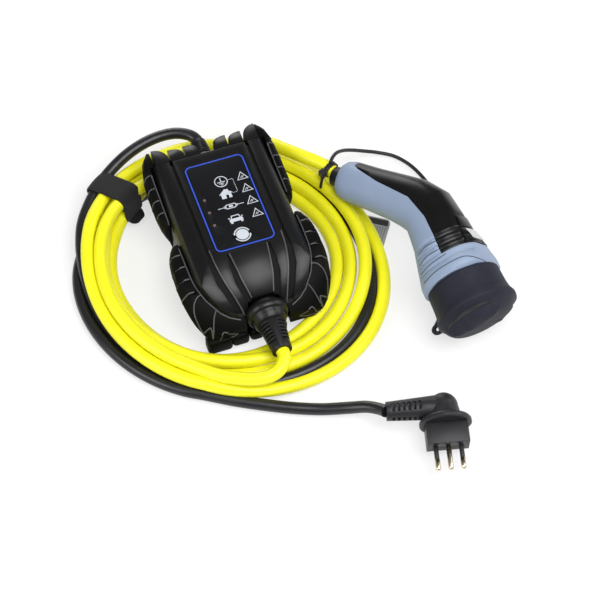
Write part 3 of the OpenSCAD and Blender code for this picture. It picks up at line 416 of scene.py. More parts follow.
coilSpec = {
    "middle": (-7.5, -22.0), "step": 7.5, "strapAt": 127.5, "rounds": 200, "passes": 2, "pulledShare": 0.8,
    "endSteps": 5, "sideways": 0.7, "same": 0.5, "ease": (0.33, 0.08), "pull": (0.04, 0.03),
    "charging": {"d": 10.5, "stations": [  # angle, radius and, where it is off the floor, height
        (-130, 98, 19), (-150, 96, 19.5), (-172, 97.5, 20), (-190, 100.5, 20), (-208, 106, 20),
        (-222, 111.5, 21.5), (-234, 114, 23.8), (-246, 109, 22), (-256, 101, 17), (-266, 94.5, 9.5),
        (-276, 91.5, 5.5), (-290, 91), (-305, 89.5), (-333, 86.7), (-352, 82.6), (-366, 83), (-381, 80.5),
        (-396, 76.5), (-411, 72), (-431, 70), (-448, 75), (-462, 80), (-485, 81.5), (-504, 84.5),
        (-528, 88), (-552, 94.3), (-569, 104, 6), (-580, 107, 12), (-594, 110.5, 14.7), (-606, 108, 9),
        (-620, 105, 6), (-640, 103.5), (-660, 100), (-687, 95.5), (-705, 95), (-723, 93.5),
        (-737, 89.5, 7.5), (-750, 88, 9), (-763, 87, 6), (-782, 86), (-794, 84, 7), (-810, 82.5, 12),
        (-825, 84, 14.2), (-845, 87, 14.2), (-864, 89.5, 14.2), (-888, 93, 14.2), (-912, 99.5, 14.2),
        (-929, 108.5, 14.5), (-954, 119, 14.7), (-966, 117.5, 9), (-980, 115.5, 6), (-1000, 114),
        (-1020, 110.5, 6), (-1034, 105.5, 12), (-1049, 103, 13), (-1065, 102.5, 13), (-1080, 103.5, 14),
        (-1100, 105.5, 14), (-1114, 101.5, 7), (-1131, 98), (-1151, 96), (-1168, 94), (-1185, 93.5),
        (-1205, 94), (-1224, 97), (-1248, 98.5), (-1272, 104.8), (-1289, 114, 7), (-1314, 129.5, 14.7),
        (-1326, 127.5, 9), (-1340, 125.5, 6), (-1360, 123.5), (-1378, 119), (-1394, 113), (-1403, 111),
        (-1416, 110, 6), (-1431, 109.8, 6), (-1446, 111.5, 6), (-1463, 116.6), (-1474, 120), (-1488, 120),
        (-1504, 116), (-1522, 112.5), (-1538, 109), (-1555, 106, 8), (-1572, 104.5, 12),
        (-1590, 104.5, 13.5), (-1608, 105.5, 13.5), (-1632, 112, 13.5), (-1649, 119, 14),
        (-1662, 122.5, 20), (-1674, 124.5, 23.8), (-1686, 124.5, 20), (-1696.6, 123.3, 16)]},
    "mains": {"d": 9.4, "stations": [
        (118.9, 133.6, 22), (126, 134, 18), (140, 127, 15), (154, 115, 8), (171, 109.5, 5), (192, 104),
        (214, 103), (238, 102), (258, 101), (272, 101.5), (285, 107), (302, 112), (315, 114), (330, 111.6),
        (345, 105), (354, 100.5), (366, 101), (385, 102.5), (405, 103.5), (420, 104), (440, 103.5),
        (455, 101), (466, 101), (475, 103), (486, 107), (500, 117), (514, 126), (531, 121.5), (552, 113.5),
        (574, 109.5), (598, 111), (601, 112, 5)]},
}


def settleCoil(spec):  # strands are circles in each slice of the coil, pushed apart until they rest
    perTurn = round(360 / spec["step"])
    ends, sideways = spec["endSteps"], spec["sideways"]
    ang, rad, high, half, lead, loose = [], [], [], [], [], []
    for key in ("charging", "mains"):
        st, floor = spec[key]["stations"], spec[key]["d"] / 2
        way = 1 if st[-1][0] > st[0][0] else -1
        a = np.array([s[0] * way for s in st])
        steps = np.arange(math.ceil(a[0] / spec["step"]), math.floor(a[-1] / spec["step"]) + 1)
        at = steps * spec["step"]
        ang += list(at * way)
        rad += list(np.interp(at, a, [s[1] for s in st]))
        high += list(np.interp(at, a, [s[2] if len(s) > 2 else floor for s in st]))
        half += [floor] * len(at)
        lead += [key] * len(at)
        loose += [min(i, len(at) - 1 - i, ends) / ends for i in range(len(at))]
    slices = [[] for _ in range(perTurn)]
    for i, a in enumerate(ang):
        slices[round(a / spec["step"]) % perTurn].append(i)
    pairs = [(i, j) for s in slices for n, i in enumerate(s) for j in s[n + 1:]]
    planRad, planHigh = list(rad), list(high)
    for turn in range(spec["rounds"]):
        pulled = turn < spec["rounds"] * spec["pulledShare"]
        for _ in range(spec["passes"]):
            for i, j in pairs:
                dr, dz = rad[i] - rad[j], high[i] - high[j]
                need = half[i] + half[j]
                gap = math.hypot(dr, dz)
                share = loose[i] + loose[j]
                if gap >= need or share == 0:
                    continue
                if gap < spec["same"]:  # on one spot: one goes up
                    dr, dz, gap = 0.0, 1.0, 1.0
                push = (need - gap) * 0.5 / share / gap
                rad[i] += dr * push * loose[i] * sideways
                rad[j] -= dr * push * loose[j] * sideways
                high[i] += dz * push * loose[i]
                high[j] -= dz * push * loose[j]
            high = [max(z, h) for z, h in zip(high, half)]
        ease = spec["ease"][0 if pulled else 1]
        for values, plan, pull in zip((rad, high), (planRad, planHigh), spec["pull"]):
            was = list(values)
            for i in range(1, len(was) - 1):
                if lead[i - 1] == lead[i + 1]:
                    home = pull * (plan[i] - was[i]) if pulled else 0
                    values[i] += loose[i] * (ease * ((was[i - 1] + was[i + 1]) / 2 - was[i]) + home)
        high = [max(z, h) for z, h in zip(high, half)]
    tracks = {"charging": [], "mains": []}
    x, y = spec["middle"]
    for a, r, z, key in zip(ang, rad, high, lead):
        t = math.radians(a)
        tracks[key].append((x + r * math.cos(t), y + r * math.sin(t), z))
    underStrap = slices[round(spec["strapAt"] / spec["step"]) % perTurn]
    return tracks, [(rad[i], high[i], half[i]) for i in underStrap]


def smoothRoute(points, gap):  # one smooth curve through the points, even steps, in metres
    p = np.array(points, float)
    p = np.vstack([2 * p[0] - p[1], p, 2 * p[-1] - p[-2]])
    out = []
    for i in range(1, len(p) - 2):
        count = max(2, math.ceil(np.linalg.norm(p[i + 1] - p[i]) / gap))
        for k in range(count):
            t = k / count
            out.append(0.5 * (2 * p[i] + (p[i + 1] - p[i - 1]) * t
                              + (2 * p[i - 1] - 5 * p[i] + 4 * p[i + 1] - p[i + 2]) * t * t
                              + (3 * p[i] - p[i - 1] - 3 * p[i + 1] + p[i + 2]) * t ** 3))
    out.append(p[-2])
    return np.array(out) * mm


def layLead(name, route, d, sides):  # a round lead along its route, as a mesh with closed ends
    curve = bpy.data.curves.new(name, "CURVE")
    curve.dimensions = "3D"
    spline = curve.splines.new("POLY")
    spline.points.add(len(route) - 1)
    for point, p in zip(spline.points, route):
        point.co = (*p, 1)
    curve.bevel_depth = d * mm / 2
    curve.bevel_resolution = sides
    curve.use_fill_caps = True
    obj = bpy.data.objects.new(name, curve)
    scene.collection.objects.link(obj)
    pickOnly(obj)
    bpy.ops.object.convert(target="MESH")
    obj = bpy.context.object
    smoothBy(obj, 60)
    return obj


def routeLength(route):
    return float(np.linalg.norm(np.diff(route, axis=0), axis=1).sum())


leadSpec = {
    "chargingStart": [
        (0, -115, 28), (0, -119, 28), (-1.5, -123, 27.6), (-7, -129, 26.6), (-15, -131.5, 25.4),
        (-25, -130, 24), (-38, -124, 22.6), (-54, -113, 21)],
    "chargingEnd": [
        (-14, 100.5, 16), (8, 97.5, 16), (30, 89.5, 17.5), (53.8, 80, 21), (63.6, 68.6, 24), (75.8, 54.2, 26.2),
        (84.5, 44.8, 26.6), (90.6, 37, 26.8), (93.2, 30.6, 26.6), (93.2, 27, 26.3)],
    "mainsStart": [
        (0, 92, 30), (0, 95, 30), (-4, 101, 30.6), (-14, 106.5, 30.8), (-27, 108.5, 29.8), (-42, 107, 28),
        (-58, 102, 25.4)],
    "mainsEnd": [
        (-44, -131, 4.9), (-24, -142, 4.8), (-4, -152, 4.8), (16, -160.5, 5.4), (34, -168, 9.4),
        (46, -174.4, 14.4), (54, -182.1, 18.8), (56.8, -187, 21.5)],
    "tether": [
        (92.4, 35.6, 33.4), (95.4, 39.8, 33.6), (101, 45.5, 30.5), (108.5, 50.2, 24.6), (117.5, 53.2, 17.4),
        (128, 54.5, 10), (140, 53, 4.6), (152, 46.5, 2.4), (161, 34, 2), (166.5, 18, 2), (169, 2, 2),
        (168, -16, 2), (163, -36, 2), (156, -56, 2), (148, -76, 2), (140, -94, 2), (132, -108, 3),
        (125.5, -117, 5.6), (119.6, -124, 9.4)],
    "tetherD": 3.0, "gap": 3.5, "tetherGap": 2.0,
}
tracks, strapSlice = settleCoil(coilSpec)
leadGap = leadSpec["gap"]
chargingRoute = smoothRoute(leadSpec["chargingStart"] + tracks["charging"] + leadSpec["chargingEnd"], leadGap)
mainsRoute = smoothRoute(leadSpec["mainsStart"] + tracks["mains"] + leadSpec["mainsEnd"], leadGap)
tetherRoute = smoothRoute(leadSpec["tether"], leadSpec["tetherGap"])
chargingLead = layLead("chargingLead", chargingRoute, coilSpec["charging"]["d"], 5)
finishPiece(chargingLead, "chargingLead", finishes["lead_yellow"], "charger",
            ("charging_lead_start", "cable_coil", "charging_lead_end"))
mainsLead = layLead("mainsLead", mainsRoute, coilSpec["mains"]["d"], 5)
finishPiece(mainsLead, "mainsLead", finishes["mains_black"], "charger",
            ("mains_lead_start", "mains_lead_end"))
capTether = layLead("capTether", tetherRoute, leadSpec["tetherD"], 3)
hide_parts("cap_tether")
capTether.data.materials.append(finishes["tether_black"])
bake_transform(capTether)
print("leads laid:", [round(routeLength(r), 3) for r in (chargingRoute, mainsRoute, tetherRoute)])


# solids that keep their shape get soft edges

cleanSpec = {"weld": 0.02, "flat": 1.0, "sharp": 32}


def dressNode(node, name, body, edge, degrees):
    source = frame["nodes"][node]
    obj = source.copy()
    obj.data = source.data.copy()
    obj.parent = None
    for key in list(obj.keys()):
        del obj[key]
    scene.collection.objects.link(obj)
    obj.matrix_world = Matrix.Identity(4)
    pickOnly(obj)
    editAll()
    bpy.ops.mesh.remove_doubles(threshold=cleanSpec["weld"] * mm)
    if edge:
        bpy.ops.mesh.dissolve_limited(angle_limit=math.radians(cleanSpec["flat"]))
    bpy.ops.object.mode_set(mode="OBJECT")
    if edge:
        addEdge(obj, edge, 2, cleanSpec["sharp"])
        applyAll(obj)
    smoothBy(obj, degrees)
    return finishPiece(obj, name, finishes[slotOf[node]], body, (node,))


dressSpec = {  # piece: node, edge in mm, smoothing
    "boxTray": ("lower_shell", 0.7, 40), "boxBumpers": ("side_bumpers", 0.8, 36),
    "boxCover": ("upper_cover", 0.7, 40), "sidePlates": ("side_plates", 0.2, 35),
    "panelFilmPiece": ("panel_overlay", 0.15, 35),
    "outputGland": ("output_gland", 0.5, 40), "outputBoot": ("output_boot", 0.35, 40),
    "inputGland": ("input_gland", 0.4, 40), "inputBoot": ("input_boot", 0.3, 40),
    "handleShell": ("handle_shell", 0, 38), "handleGrip": ("handle_grip", 0, 38),
    "nosePlate": ("nose_plate", 0.5, 38), "tailBush": ("tail_bush", 0.8, 40),
    "tetherTie": ("tether_tie", 0.3, 40),
    "plugBody": ("plug_body", 0.45, 40), "plugInsert": ("plug_insert", 0.8, 40),
    "linePin": ("line_pin", 0, 40), "neutralPin": ("neutral_pin", 0, 40), "earthPin": ("earth_pin", 0, 40),
    "pinSleeves": ("pin_sleeves", 0.15, 40),
}
dressed = {}
for pieceName, (nodeName, edge, degrees) in dressSpec.items():
    dressed[pieceName] = dressNode(nodeName, pieceName, "charger", edge, degrees)
dressNode("start_key", "startKey", "start_key", 0.3, 40)
print("dressed solids:", len(dressed) + 1)


# box: groove floors darkened as painted shade, and ridges on the cover and the bumpers coloured pale as painted
# highlight

grooveSpec = {  # from the middle, along the box, width
    "inner": [(16.5, -35, 1.2), (16.5, -46, 3.9), (15.5, -58, 5.4), (12.5, -68, 5.1), (9.5, -77, 3.6)],
    "outer": [(31, 62, 2.7), (31, -28, 2.7), (31, -42, 4.5), (29, -56, 6.0), (24.5, -67, 5.4),
              (19.5, -77, 4.2)],
}
ridgeSpec = {
    "wide": 1.25, "sunk": 0.3, "gap": 1.2, "beside": 0.7, "grooveEnd": 30, "above": 90,
    "lines": [  # left side, on the bumper
        [(-43.5, -55, 42.5), (-47.8, -55.5, 40), (-51.9, -59.8, 37), (-53.4, -66.7, 31), (-51.1, -74, 21.6),
         (-47.5, -78.5, 15)],
        [(-36.3, -67.5, 36), (-39.6, -71.1, 30.3), (-42.4, -77.6, 24), (-43.2, -80.5, 16)],
        [(-50.4, -75, 18), (-47.5, -75.4, 22.5), (-44.3, -75.6, 25.3)],
        [(-44.3, -75.6, 25.3), (-43.6, -78.5, 21), (-43.2, -80.5, 15)],
        [(-40, -82.5, 14), (-38, -82, 18.5), (-35.5, -81.1, 22.5)],
        [(-35.5, -81.1, 22.5), (-30, -82.2, 20), (-24.7, -83, 17.4)],
        [(-24.7, -83, 17.4), (-31, -83, 14.8), (-40, -82.5, 14)],
        [(-48, -10, 43), (-48, -27, 44.3), (-47.4, -42, 43.3), (-45, -53, 41.3), (-40.6, -63, 38),
         (-35, -70, 34.3), (-28.6, -75.6, 31), (-21, -79, 29)],
        [(-48, 14, 43.5), (-48, 30, 44.5), (-48, 46, 46), (-48, 60, 48.5)]],
    "treads": [  # along the box, half width, top
        (-17.5, 58.4, 44.3), (-29, 59.7, 44.3), (-40.5, 60, 43.6), (-52, 59.3, 41.8),
        (24.5, 54.8, 44.6), (36, 55.4, 45.4), (47.5, 55.5, 46.4), (59, 55.2, 48.4)],
}


def paintGrooveShade(cover, spec, finish):  # painted shade: a darker, matt second finish on the faces inside the grooves
    cover.data.materials.append(finish)
    beside, past = 0.05, 4
    for face in cover.data.polygons:
        x, y = abs(face.center.x) / mm, face.center.y / mm
        for line in spec.values():
            mids, ys, wides = zip(*reversed(line))
            reach = np.interp(y, ys, wides) / 2 + beside
            if ys[0] - past < y < ys[-1] and abs(x - np.interp(y, ys, mids)) < reach:
                face.material_index = 1


def snapped(surface, route, sunk):  # route laid on the nearest surface, sunk in a little
    out = []
    for p in route:
        spot, normal, _, _ = surface.find_nearest(p)
        out.append(spot - normal * sunk * mm)
    return np.array(out)


def treadLip(y, out, top):  # over a tread's shoulder and down its side
    return [(-49, y + 1, top), (-54, y + 1, top - 1), (1 - out, y + 1, top - 7), (-out, y + 1, top - 13)]


def grooveEdge(surface, line, side, spec):  # a groove's edge next to the middle, laid on from above
    edge = [(side * (mid - wide / 2 - spec["beside"]), y, 0) for mid, y, wide in line if y < spec["grooveEnd"]]
    route = []
    for x, y, _ in smoothRoute(edge, spec["gap"]):
        spot, normal, _, _ = surface.ray_cast(Vector((x, y, spec["above"] * mm)), Vector((0, 0, -1)))
        if spot:
            route.append(spot - normal * spec["sunk"] * mm)
    return np.array(route)


def layRidges(spec, bumpers, cover):
    onBumper, onCover = surfaceOf(bumpers), surfaceOf(cover)
    lines = spec["lines"] + [treadLip(*tread) for tread in spec["treads"]]
    routes = []
    for side in (1, -1):
        for line in lines:
            route = smoothRoute([(side * x, y, z) for x, y, z in line], spec["gap"])
            routes.append(snapped(onBumper, route, spec["sunk"]))
        routes += [grooveEdge(onCover, line, side, spec) for line in grooveSpec.values()]
    return joinAll([layLead("ridge", route, spec["wide"], 2) for route in routes], "boxRidges")


finSpec = {"from": 66.2, "inner": 11, "outer": 24, "split": 30.3, "blunt": 1.15}


def bluntFins(p):  # blunter tips, the two inner fins shorter than the outer
    over = p.y / mm - finSpec["from"]
    if over > 0:
        reach = finSpec["inner" if abs(p.x) / mm < finSpec["split"] else "outer"]
        p.y = (finSpec["from"] + reach * math.tanh(over / (finSpec["blunt"] * reach))) * mm
    return p


feetSpec = {"edge": 3.4, "blocks": [  # place and size; the lead passes under the right corner
    ((-39, -78.8, 8.2), (20, 12.4, 16)), ((-22.5, -79, 9), (14, 12, 14)),
    ((-9.5, -79, 9), (11, 12, 12)), ((9.5, -79, 9), (11, 12, 12))]}


def makeFeet(spec):  # rounded blocks along the near lower edge
    parts = []
    for place, size in spec["blocks"]:
        bpy.ops.mesh.primitive_cube_add(size=1, location=[c * mm for c in place])
        block = bpy.context.object
        block.scale = [s * mm for s in size]
        putDown(block)
        addEdge(block, spec["edge"], 4)
        applyAll(block)
        parts.append(block)
    feet = joinAll(parts, "nearFeet")
    smoothBy(feet, 50)
    return feet


bumperBlack = moulded("bumperBlack", (0.0016, 0.0016, 0.0015), (0.0032, 0.0032, 0.0030), 0.52, 2200, 0.07, 0.08)
# painted shade: a darker black than the cover, standing in for the shade on the groove floors
grooveShadePaint = moulded("grooveShadePaint", (0.0016, 0.0016, 0.0018), (0.0030, 0.0030, 0.0033), 0.80, 2400, 0.06)
# painted highlight: pale grey on the raised ridges along the bumper and groove edges stands in for their bright
# highlights
ridgeHighlight = moulded("paintedRidgeHighlight", (0.050, 0.050, 0.053), (0.105, 0.105, 0.110), 0.30, 2600, 0.05)
finishPiece(makeFeet(feetSpec), "nearFeet", bumperBlack, "charger")
dressed["boxBumpers"].data.materials[0] = bumperBlack
moveVerts(dressed["boxCover"], bluntFins)
paintGrooveShade(dressed["boxCover"], grooveSpec, grooveShadePaint)
boxRidges = layRidges(ridgeSpec, dressed["boxBumpers"], dressed["boxCover"])
finishPiece(boxRidges, "boxRidges", ridgeHighlight, "charger")
print("box ridges laid")


# flat shapes: outlines drawn in millimetres, raised a little

def drawOutline(points, low):  # a filled outline, left in edit mode
    bpy.ops.mesh.primitive_circle_add(vertices=len(points), radius=0.01, fill_type="NGON")
    obj = bpy.context.object
    for v, (x, y) in zip(obj.data.vertices, points):
        v.co = (x * mm, y * mm, low * mm)
    editAll()
    return obj


def raiseFaces(thick):
    bpy.ops.mesh.extrude_region_move(TRANSFORM_OT_translate={"value": (0, 0, thick * mm)})
    outward()


def flatShape(points, low, thick):
    obj = drawOutline(points, low)
    raiseFaces(thick)
    return obj


def flatFrame(points, width, low, thick):  # an outline of even width
    obj = drawOutline(points, low)
    bpy.ops.mesh.inset(thickness=width * mm, depth=0, use_even_offset=True)
    bpy.ops.mesh.delete(type="FACE")
    bpy.ops.mesh.select_all(action="SELECT")
    raiseFaces(thick)
    return obj


def polar(r, degrees, at=(0, 0)):
    a = math.radians(degrees)
    return (at[0] + r * math.cos(a), at[1] + r * math.sin(a))


def roundRect(w, h, r, at=(0, 0), steps=6):
    out = []
    for cx, cy, turn in ((1, 1, 0), (-1, 1, 90), (-1, -1, 180), (1, -1, 270)):
        corner = (at[0] + cx * (w / 2 - r), at[1] + cy * (h / 2 - r))
        out += [polar(r, turn + 90 * k / steps, corner) for k in range(steps + 1)]
    return out


def circlePoints(r, at=(0, 0), count=40):
    return [polar(r, 360 * k / count, at) for k in range(count)]


def stroke(x0, y0, x1, y1, width):
    run = math.hypot(x1 - x0, y1 - y0)
    nx, ny = (y0 - y1) / run * width / 2, (x1 - x0) / run * width / 2
    return [(x0 + nx, y0 + ny), (x1 + nx, y1 + ny), (x1 - nx, y1 - ny), (x0 - nx, y0 - ny)]


def arcBand(rIn, rOut, first, last, at, steps=14):
    turns = [first + (last - first) * k / steps for k in range(steps + 1)]
    return [polar(rOut, a, at) for a in turns] + [polar(rIn, a, at) for a in reversed(turns)]


def box2(x0, y0, x1, y1):
    return [(x0, y0), (x1, y0), (x1, y1), (x0, y1)]


# panel print: border, symbols, key ring

panelSpec = {"face": 55.9, "ink": 0.07, "sunk": 0.02,
             "size": (47.6, 84.6), "corner": 4.6, "middle": (0, 10), "line": 1.0}
symbolSpec = {  # places, then strokes, filled shapes and outlines about each place
    "earth": {"at": [(0, 31)], "strokes": [
        (0, 3.6, 0, -0.3, 0.75), (-3.2, -0.4, 3.2, -0.4, 0.7), (-2.0, -1.9, 2.0, -1.9, 0.7),
        (-0.9, -3.3, 0.9, -3.3, 0.7),
        *((5.8 + 1.3 * k, 0, 6.7 + 1.3 * k, 0, 0.4) for k in range(3)),  # dashes to the house
        *((9.5, -0.4 - 1.4 * k, 9.5, -1.3 - 1.4 * k, 0.4) for k in range(9)),
        *((8.9 - 1.3 * k, -13.0, 8.0 - 1.3 * k, -13.0, 0.4) for k in range(3))],
        "frames": [(circlePoints(5.3), 0.75)]},
    "house": {"at": [(0, 18.3)], "shapes": [
        [(-5.6, 0.3), (5.6, 0.3), (2.6, 3.0), (2.6, 4.6), (1.4, 4.6), (1.4, 4.0), (0, 5.0)],
        box2(-4.1, -4.0, -0.4, 0.2), box2(-0.4, -0.9, 4.1, 0.2), box2(1.8, -4.0, 4.1, -0.9)]},
    "inline": {"at": [(0, 6.3)], "strokes": [(-10.5, 0, -4.2, 0, 0.55), (4.2, 0, 10.5, 0, 0.55)], "shapes": [
        box2(-5.6, -1.0, -4.2, 1.0), box2(4.2, -1.0, 5.6, 1.0), box2(-1.6, -0.9, 1.6, 0.9)],
        "frames": [(roundRect(8.6, 4.4, 1.2), 0.75)]},
    "car": {"at": [(0, -6.2)], "shapes": [
        [(-4.0, 0.7), (-3.1, 3.6), (3.1, 3.6), (4.0, 0.7), (3.2, 0.7), (2.5, 2.8), (-2.5, 2.8), (-3.2, 0.7)],
        [(-4.9, 0.6), (4.9, 0.6), (5.3, -0.4), (5.3, -2.5), (-5.3, -2.5), (-5.3, -0.4)],
        box2(-4.9, -3.9, -3.1, -2.4), box2(3.1, -3.9, 4.9, -2.4),
        box2(-5.9, 1.1, -4.6, 1.9), box2(4.6, 1.1, 5.9, 1.9)]},
    "triangles": {"at": [(17.1, 31), (17.1, 19), (17.1, 6.8), (17.1, -5.9)], "strokes": [
        (-1.5, -1.7, 0.2, 0.5, 0.45), (-0.2, -1.7, 1.5, 0.5, 0.45)],
        "frames": [([(-4.7, -3.2), (4.7, -3.2), (0, 4.6)], 0.6)]},
}
keySpec = {"at": (0, -22), "face": 56.2, "disc": 4.9, "ring": (5.7, 6.7), "starts": (20, 200), "sweep": 138,
           "arrow": (5.0, 7.15), "tip": (6.2, 156)}


def printSymbols(symbols, panel):
    low, ink = panel["face"] - panel["sunk"], panel["ink"]
    marks, frames = [], []
    for s in symbols.values():
        shapes = [stroke(*line) for line in s.get("strokes", ())] + s.get("shapes", [])
        for dx, dy in s["at"]:
            marks += [[(x + dx, y + dy) for x, y in points] for points in shapes]
            for points, width in s.get("frames", ()):
                frames.append(([(x + dx, y + dy) for x, y in points], width))
    parts = [flatShape(points, low, ink) for points in marks]
    parts += [flatFrame(points, width, low, ink) for points, width in frames]
    return joinAll(parts, "panelSymbols")


def printKey(spec, panel):  # a disc with two arrows round it
    at, low, ink = spec["at"], spec["face"] - panel["sunk"], panel["ink"]
    parts = [flatShape(circlePoints(spec["disc"], at, 48), low, ink)]
    for first in spec["starts"]:
        last = first + spec["sweep"]
        parts.append(flatShape(arcBand(*spec["ring"], first, last, at), low, ink))
        head = [polar(r, last, at) for r in spec["arrow"]] + [polar(spec["tip"][0], first + spec["tip"][1], at)]
        parts.append(flatShape(head, low, ink))
    return joinAll(parts, "keyMarks")


inkWhite = printed("inkPale", (0.50, 0.53, 0.58), 0.45)
inkBlue = printed("inkBlue", (0.026, 0.078, 0.560), 0.40)
tagBandDark = printed("tagBandDark", (0.020, 0.020, 0.022), 0.50)
inkGrey = printed("inkGrey", (0.13, 0.13, 0.14), 0.5)
labelSilver = printed("labelSilver", (0.48, 0.49, 0.50), 0.38)
finishPiece(printSymbols(symbolSpec, panelSpec), "panelSymbols", inkWhite, "charger")
borderLine = roundRect(*panelSpec["size"], panelSpec["corner"], panelSpec["middle"], 10)
panelBorder = flatFrame(borderLine, panelSpec["line"], panelSpec["face"] - panelSpec["sunk"],
                        panelSpec["ink"] + panelSpec["sunk"])
finishPiece(panelBorder, "panelBorder", inkBlue, "charger")
finishPiece(printKey(keySpec, panelSpec), "keyMarks", inkWhite, "start_key")
print("panel printed")


# coil strap: a soft band pulled round the strands, its free end on the inside

strapSpec = {"angle": 126, "reach": 121, "wide": 20, "thick": 1.6, "room": 0.5, "sides": 56, "rows": 9,
             "low": 1.7, "edge": 0.4, "pinch": 0.035, "drift": 0.9, "heart": 15}
strapEndSpec = {"line": [(-17.6, 17), (-19.6, 12.5), (-21.6, 9.0), (-24.4, 6.6), (-27.4, 5.8), (-30.2, 6.6)],
                "half": [8.4, 8.6, 8.6, 8.2, 7.0, 4.2], "cells": 6}


def wrapOutline(circles, spec):  # tight outline round the strands of one slice
    out = []
    for k in range(spec["sides"]):
        y, z = polar(1, 360 * k / spec["sides"])
        r, up, half = max(circles, key=lambda c: c[0] * y + c[1] * z + c[2])
        stand = half + spec["room"]
        out.append((r + stand * y - spec["reach"], max(spec["low"], up + stand * z)))
    return out


def atStrap(spec):
    return moved(*coilSpec["middle"], 0) @ turned(spec["angle"] - 90, "Z") @ moved(0, spec["reach"], 0)


def makeStrap(spec):
    outline = wrapOutline(strapSlice, spec)
    bpy.ops.mesh.primitive_circle_add(vertices=spec["sides"], radius=0.01, fill_type="NOTHING")
    band = bpy.context.object
    for v, (y, z) in zip(band.data.vertices, outline):
        v.co = (-spec["wide"] / 2 * mm, y * mm, z * mm)
    editAll()
    pace = spec["wide"] * mm / (spec["rows"] - 1)
    for _ in range(spec["rows"] - 1):
        bpy.ops.mesh.extrude_region_move(TRANSFORM_OT_translate={"value": (pace, 0, 0)})
    outward()

    def soften(p):  # edges pull in where the band grips, and drift a little along the coil
        across = p.x / mm / (spec["wide"] / 2)
        turn = math.atan2(p.z - spec["heart"] * mm, p.y)
        grip = 1 - spec["pinch"] * across * across
        low = spec["low"] * mm
        drift = spec["drift"] * mm * math.sin(3 * turn + 0.6)
        return Vector((p.x + drift, p.y * grip, low + (p.z - low) * grip))
    moveVerts(band, soften)
    addWall(band, spec["thick"], 1)
    addEdge(band, spec["edge"], 2)
    applyAll(band)
    return band


def makeStrapEnd(spec, thick):  # free end: leaves the band and curls to a rounded tip
    line, half, last = spec["line"], spec["half"], len(spec["line"]) - 1
    bpy.ops.mesh.primitive_grid_add(x_subdivisions=spec["cells"], y_subdivisions=last, size=1)
    flap = bpy.context.object
    for v in flap.data.vertices:
        row = round((v.co.y + 0.5) * last)
        v.co = (v.co.x * 2 * half[row] * mm, line[row][0] * mm, line[row][1] * mm)
    addWall(flap, thick, 0)
    addSoft(flap, 2)
    applyAll(flap)
    return flap


coilStrap = joinAll([makeStrap(strapSpec), makeStrapEnd(strapEndSpec, strapSpec["thick"])], "coilStrap")
coilStrap.matrix_world = atStrap(strapSpec)
putDown(coilStrap)
smoothBy(coilStrap, 45)
finishPiece(coilStrap, "coilStrap", finishes["strap_black"], "charger", ("coil_strap",))
print("strap wrapped")


# dust cap: a soft cup with a folded rim, an ear to pull and a creased end

noseSpec = {"at": (143.7, -40.1, 49.5), "turn": 4, "dip": 9.5, "roll": -38}
noseFrame = (moved(*noseSpec["at"]) @ turned(noseSpec["turn"], "Z")
             @ turned(noseSpec["dip"], "X") @ turned(noseSpec["roll"], "Y"))
capSpec = {
    "start": 68.9, "sides": 72, "wall": 1.7,
    "rings": [(29.3, 0), (29.5, 1.2), (29.6, 8), (30.0, 16), (30.9, 21), (32.4, 23.6), (33.4, 25.4),
              (32.8, 27.2), (31.0, 28.6), (29.6, 30.6), (28.0, 33.4), (25.6, 36.4), (22.0, 38.6),
              (16.0, 39.6), (9.0, 39.9), (3.0, 40.0)],
    "rim": {"at": 25.8, "wide": 3.4, "outside": 26, "slack": 1.1, "slackAt": 2.2},
    "ear": {"at": -61, "reach": 5.8, "wide": 0.40, "sag": 1.6, "sagWide": 0.5},
    "wave": {"deep": 0.25, "start": 0.7, "full": 20},
    "end": {"from": 28, "run": 8, "crease": 13.0, "near": 0.11, "far": 0.70, "deepest": 5.0, "up": 0.5,
            "share": 0.9, "ridge": (1.5, 1.8), "fold": (1.3, 1.7), "foldAt": 11.0, "foldLean": 0.18},
}
lugSpec = {"ring": 3.0, "wire": 1.5, "at": (-34.6, 1.2, 21.5), "stretch": (1.25, 1.0, 1.3),
           "root": 2.6, "rootAt": (-31.2, 1.2, 21.5), "rootStretch": (1.1, 1.2, 1.6)}


def hump(away, wide):  # 1 in the middle, falling off on both sides
    return math.exp(-(away / wide) ** 2)


def endLift(x, y, spec):  # the end falls away from a crease, with one fold beside it
    away = y - spec["crease"]
    ridge = spec["ridge"][0] * hump(away, spec["ridge"][1])
    if away < 0:
        fall = -spec["near"] * away
        ridge += spec["fold"][0] * hump(x - spec["foldAt"] - spec["foldLean"] * y, spec["fold"][1])
    else:
        fall = spec["far"] * away
    return spec["share"] * ridge - min(fall, spec["deepest"]) + spec["up"]


